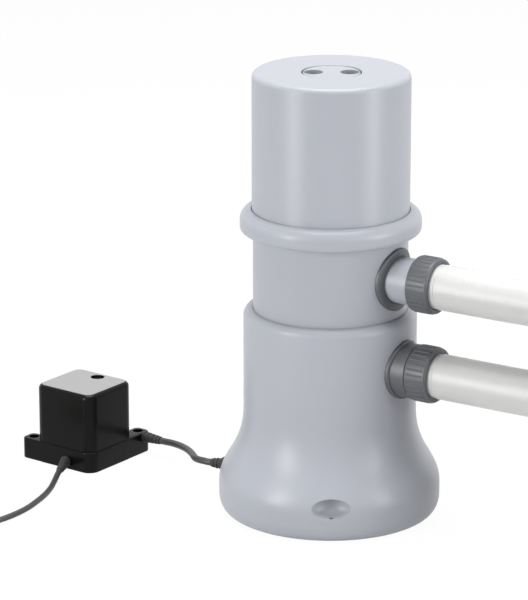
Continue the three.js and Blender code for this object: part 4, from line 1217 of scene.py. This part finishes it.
class PUMP_OT_cover(bpy.types.Operator):
    """Tall cover, its lock ring and the air valve in its top"""

    bl_idname = "filter_pump.cover"
    bl_label = "Cover, lock ring and air valve"

    def execute(self, context):
        inner = COVER_RADIUS - WALL
        floor = COVER_TOP - DISH_DEPTH
        hole = VALVE_STEM + GAP
        outline = rounded([
            (inner, COVER_LOW, 0.0004), (RIM_RADIUS, COVER_LOW, 0.0004),
            (RIM_RADIUS, COVER_LOW + COVER_FLANGE, 0.0006), (COVER_RADIUS, COVER_LOW + COVER_FLANGE, 0.0008),
            (COVER_RADIUS, COVER_TOP, COVER_CORNER), (DISH_RADIUS, COVER_TOP, 0.0012),
            (DISH_RADIUS, floor, 0.0008),
            (hole, floor, 0.0002), (hole, floor - WALL, 0), (DISH_RADIUS + WALL, floor - WALL, 0.002),
            (DISH_RADIUS + WALL, COVER_TOP - WALL, 0.001), (inner, COVER_TOP - WALL, 0.002),
        ])
        cover = made("cover_shell", *lathe(outline), shell_plastic(), "cover")
        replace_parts(cover, "filter_cover")
        lip = COVER_RADIUS + 0.0005
        skirt = RIM_RADIUS + 0.0005
        under = COVER_LOW + COVER_FLANGE + GAP
        outline = rounded([
            (skirt, RING_LOW, 0.0004), (RING_RADIUS, RING_LOW, 0.003), (RING_RADIUS, RING_TOP, RING_ROUND),
            (lip, RING_TOP, 0.0004), (lip, under, 0), (skirt, under, 0),
        ], 8)
        ring = made("screw_ring", *lathe(outline), shell_plastic(), "lock_ring")
        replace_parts(ring, "lock_ring")
        self.valve(floor)
        return {"FINISHED"}

    def valve(self, floor):
        low = floor + GAP
        high = COVER_TOP - 0.0005
        end = floor - VALVE_STEM_LENGTH
        disc = DISH_RADIUS - 0.001
        outline = rounded([
            (0, end - 0.002, 0), (VALVE_STEM + 0.002, end - 0.002, 0.0004), (VALVE_STEM + 0.002, end, 0),
            (VALVE_STEM, end, 0), (VALVE_STEM, low, 0), (disc, low, 0), (disc, high, 0.0012), (0, high, 0),
        ])
        well = drum(VALVE_WELL, low + VALVE_FLOOR, high + 0.01, 48)
        places = [Matrix.Translation((x, 0, 0)) for x in (-VALVE_WELL_PLACE, VALVE_WELL_PLACE)]
        tools = [("DIFFERENCE", *well, place) for place in places]
        mesh = joined("valve_knob", lathe(outline, 96, True), tools)
        valve = finished("valve_knob", mesh, shell_plastic(), "air_valve")
        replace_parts(valve, "air_valve")


class PUMP_OT_cartridge(bpy.types.Operator):
    """Pleated filter cartridge with its end caps"""

    bl_idname = "filter_pump.cartridge"
    bl_label = "Cartridge"

    def execute(self, context):
        look = settings().cartridge
        low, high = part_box("cartridge_pleats")[0][2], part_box("cartridge_pleats")[1][2]
        mesh = grown("pleated_sheet", pleat_tree(), {
            "Count": look.pleats, "Inner Radius": CORE_RADIUS + 0.006,
            "Outer Radius": CARTRIDGE_RADIUS - 0.001,
            "Fold Radius": 0.0005, "Length": high - low, "Height": low, "Material": filter_paper(),
        })
        hole = drum(CORE_RADIUS + GAP, low - 0.01, high + 0.01, 48)
        faces = [list(p.vertices) for p in mesh.polygons]
        base = ([tuple(v.co) for v in mesh.vertices], faces)
        mesh = joined("pleated_sheet", base, [("DIFFERENCE", *hole, None)])
        sheet = finished("pleated_sheet", mesh, filter_paper(), crease=50)
        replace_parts(sheet, "cartridge_pleats")
        for node, name in (("cartridge_bottom_cap", "lower_end_cap"), ("cartridge_top_cap", "upper_end_cap")):
            low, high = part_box(node)[0][2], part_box(node)[1][2]
            outline = rounded([
                (0.0203, low, 0.0008), (CARTRIDGE_RADIUS, low, 0.0012),
                (CARTRIDGE_RADIUS, high, 0.0012), (0.0203, high, 0.0008),
            ])
            cap = made(name, *lathe(outline, 96), cap_plastic())
            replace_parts(cap, node)
        return {"FINISHED"}


class PUMP_OT_transformer(bpy.types.Operator):
    """Transformer case on its tray with two screw lugs"""

    bl_idname = "filter_pump.transformer"
    bl_label = "Transformer"

    def execute(self, context):
        edge_x, edge_y = BOX_LENGTH / 2 + TRAY_EDGE, BOX_WIDTH / 2 + TRAY_EDGE
        tray = rounded_box(edge_layers(0, TRAY_HEIGHT, 0.0008), (2 * edge_x, 2 * edge_y), BOX_CORNER)
        tray = shifted(tray, BOX_SHIFT)
        edge_y -= BOX_SHIFT
        tools = []
        for x, y, along_x in (
            (LUG / 2 - edge_x, edge_y + LUG_REACH - LUG / 2, False),
            (edge_x + LUG_REACH - LUG / 2, LUG / 2 - edge_y, True),
        ):
            size = (2 * LUG_REACH, LUG) if along_x else (LUG, 2 * LUG_REACH)
            shift = (edge_x, y, 0) if along_x else (x, edge_y, 0)
            lug = rounded_box(edge_layers(0, LUG_HEIGHT, 0.0012), size, 0.005)
            tools.append(("UNION", *lug, Matrix.Translation(shift)))
            hole = drum(LUG_HOLE, -0.001, 0.03, 24)
            sink = drum(LUG_SINK, LUG_HEIGHT - LUG_SINK_DEPTH, 0.03, 32)
            tools.append(("DIFFERENCE", *hole, Matrix.Translation((x, y, 0))))
            tools.append(("DIFFERENCE", *sink, Matrix.Translation((x, y, 0))))
        mesh = joined("transformer_tray", tray, tools)
        mesh.transform(BOX_PLACE)
        base = finished("transformer_tray", mesh, case_plastic())
        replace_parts(base, "transformer_base")
        layers = edge_layers(TRAY_HEIGHT + GAP, BOX_HEIGHT, 0.004, 6, both=False)
        case = rounded_box(layers, (BOX_LENGTH, BOX_WIDTH), BOX_CORNER, 10)
        case = shifted(case, BOX_SHIFT)
        low, high = BOX_HEIGHT - 0.0015, BOX_HEIGHT + 0.002
        dimple = lathe([(0, low), (0.006, low), (0.0065, high), (0, high)], 48, True)
        dimple = ("DIFFERENCE", *dimple, Matrix.Translation(DIMPLE_PLACE))
        mesh = joined("transformer_cover", case, [dimple])
        mesh.transform(BOX_PLACE)
        cover = finished("transformer_cover", mesh, case_plastic())
        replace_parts(cover, "transformer_case")
        # A light grey sheet over most of the case's top: painted highlight for the top's sheen, shaped as a
        # plain label, with the dimple cut through it.
        layers = [(BOX_HEIGHT - TOP_SHEEN_HALF, 0), (BOX_HEIGHT + TOP_SHEEN_HALF, 0)]
        plate = shifted(rounded_box(layers, TOP_SHEEN_SIZE, 0.006, 8), BOX_SHIFT)
        mesh = joined("transformer_top_sheen", plate, [dimple])
        mesh.transform(BOX_PLACE)
        finished("transformer_top_sheen", mesh, top_sheen_plastic())
        return {"FINISHED"}


class PUMP_OT_inner_parts(bpy.types.Operator):
    """Finishes on the pieces that keep their construction shape"""

    bl_idname = "filter_pump.inner_parts"
    bl_label = "Inner parts"

    def execute(self, context):
        for row in frame["record"]["subparts"]:
            node = frame["nodes"][row["node"]]
            look = stacked_sheets() if row["node"] in STACKED else SLOT_FINISH[row["material_slot"]]()
            node.data.materials.clear()
            node.data.materials.append(look)
        return {"FINISHED"}


# ---- stage ---------------------------------------------------------------------------


def calculated(tree, operation, *values):
    node = tree.nodes.new("ShaderNodeMath")
    node.operation = operation
    for socket, value in zip(node.inputs, values):
        if isinstance(value, bpy.types.NodeSocket):
            tree.links.new(value, socket)
        else:
            socket.default_value = value
    return node.outputs[0]


def mixed(tree, *sockets):
    """Two shaders mixed, from the share of the second and the two shaders."""
    mix = tree.nodes.new("ShaderNodeMixShader")
    for value, socket in zip(sockets, mix.inputs):
        tree.links.new(value, socket)
    return mix.outputs[0]


def seen_directly(tree):
    """1 for camera, mirror and see-through rays, 0 for the light on the object."""
    rays = tree.nodes.new("ShaderNodeLightPath")
    seen = calculated(tree, "MAXIMUM", rays.outputs["Is Camera Ray"], rays.outputs["Is Glossy Ray"])
    return calculated(tree, "MAXIMUM", seen, rays.outputs["Is Transmission Ray"])


class PUMP_OT_stage(bpy.types.Operator):
    """Floor, background and lamps"""

    bl_idname = "filter_pump.stage"
    bl_label = "Stage"

    def execute(self, context):
        self.floor()
        self.sky()
        for name, place, share, size in LAMPS:
            self.lamp(name, place, settings().stage.key * share, size)
        context.scene.view_settings.view_transform = "Standard"
        return {"FINISHED"}

    def floor(self):
        r = FLOOR_REACH
        corners = [(x, y, FLOOR_LOW) for x, y in ((-r, -r), (r, -r), (r, r), (-r, r))]
        mesh = shaped("floor", corners, [(0, 1, 2, 3)])
        floor = placed("floor", mesh)
        material, tree = blank_material("floor paint")
        matt = linked(tree, "ShaderNodeBsdfDiffuse", Color=(*settings().stage.floor, 1))
        glow = linked(tree, "ShaderNodeEmission", Color=(1, 1, 1, 1), Strength=GLOW_STRENGTH)
        share = calculated(tree, "MULTIPLY", seen_directly(tree), GLOW_SHARE)
        both = mixed(tree, share, matt.outputs[0], glow.outputs[0])
        linked(tree, "ShaderNodeOutputMaterial", Surface=both)
        mesh.materials.append(material)

    def sky(self):
        world = bpy.data.worlds.new("studio")
        bpy.context.scene.world = world
        world.use_nodes = True
        tree = world.node_tree
        tree.nodes.clear()
        lit = linked(tree, "ShaderNodeBackground", Color=(1, 1, 1, 1), Strength=settings().stage.sky)
        seen = linked(tree, "ShaderNodeBackground", Color=(1, 1, 1, 1), Strength=1.0)
        both = mixed(tree, seen_directly(tree), lit.outputs[0], seen.outputs[0])
        linked(tree, "ShaderNodeOutputWorld", Surface=both)

    def lamp(self, name, place, power, size):
        data = bpy.data.lights.new(name, "AREA")
        data.energy = power
        data.shape = "RECTANGLE"
        data.size, data.size_y = size
        lamp = placed(name, data)
        lamp.location = place
        aim = LAMP_AIM - lamp.location
        lamp.rotation_euler = aim.to_track_quat("-Z", "Y").to_euler()


class PUMP_OT_camera(bpy.types.Operator):
    """Camera at the front, a little above the pump"""

    bl_idname = "filter_pump.camera"
    bl_label = "Camera"

    def execute(self, context):
        data = bpy.data.cameras.new("camera")
        data.lens = CAMERA_LENS
        data.sensor_width = 36
        camera = placed("camera", data)
        camera.location = CAMERA_PLACE
        camera.rotation_euler = (CAMERA_TILT, 0, 0)
        context.scene.camera = camera
        return {"FINISHED"}


# ---- panel and registration ------------------------------------------------------------

STEPS = (
    PUMP_OT_camera, PUMP_OT_leads, PUMP_OT_hoses, PUMP_OT_reliefs, PUMP_OT_lower_housing,
    PUMP_OT_filter_housing, PUMP_OT_port_flanges, PUMP_OT_cover, PUMP_OT_cartridge,
    PUMP_OT_transformer, PUMP_OT_inner_parts, PUMP_OT_stage,
)


class FilterPumpSettings(bpy.types.PropertyGroup):
    """All settings of the filter pump"""

    shell: bpy.props.PointerProperty(type=ShellSettings, name="Shells", description="Moulded housings")
    fittings: bpy.props.PointerProperty(type=FittingSettings, name="Fittings", description="Nuts and flanges")
    hoses: bpy.props.PointerProperty(type=HoseSettings, name="Hoses", description="Hoses and cuffs")
    power: bpy.props.PointerProperty(type=PowerSettings, name="Power", description="Transformer and leads")
    cartridge: bpy.props.PointerProperty(
        type=CartridgeSettings, name="Cartridge", description="Filter cartridge",
    )
    stage: bpy.props.PointerProperty(type=StageSettings, name="Stage", description="Floor and light")


class PUMP_PT_panel(bpy.types.Panel):
    """Settings and steps of the filter pump"""

    bl_idname = "PUMP_PT_panel"
    bl_label = "Filter pump"
    bl_space_type = "VIEW_3D"
    bl_region_type = "UI"
    bl_category = "Filter pump"

    def draw(self, context):
        for group in ("shell", "fittings", "hoses", "power", "cartridge", "stage"):
            look = getattr(context.scene.filter_pump, group)
            box = self.layout.box()
            box.label(text=group.title())
            for name in look.__annotations__:
                box.prop(look, name)
        for step in STEPS:
            self.layout.operator(step.bl_idname)


CLASSES = (
    ShellSettings, FittingSettings, HoseSettings, PowerSettings, CartridgeSettings, StageSettings,
    FilterPumpSettings, *STEPS, PUMP_PT_panel,
)


def register():
    for item in CLASSES:
        bpy.utils.register_class(item)
    bpy.types.Scene.filter_pump = bpy.props.PointerProperty(type=FilterPumpSettings)


def unregister():
    del bpy.types.Scene.filter_pump
    for item in reversed(CLASSES):
        bpy.utils.unregister_class(item)


def main():
    register()
    for step in STEPS:
        group, name = step.bl_idname.split(".")
        getattr(getattr(bpy.ops, group), name)()


if __name__ == "__main__":
    main()
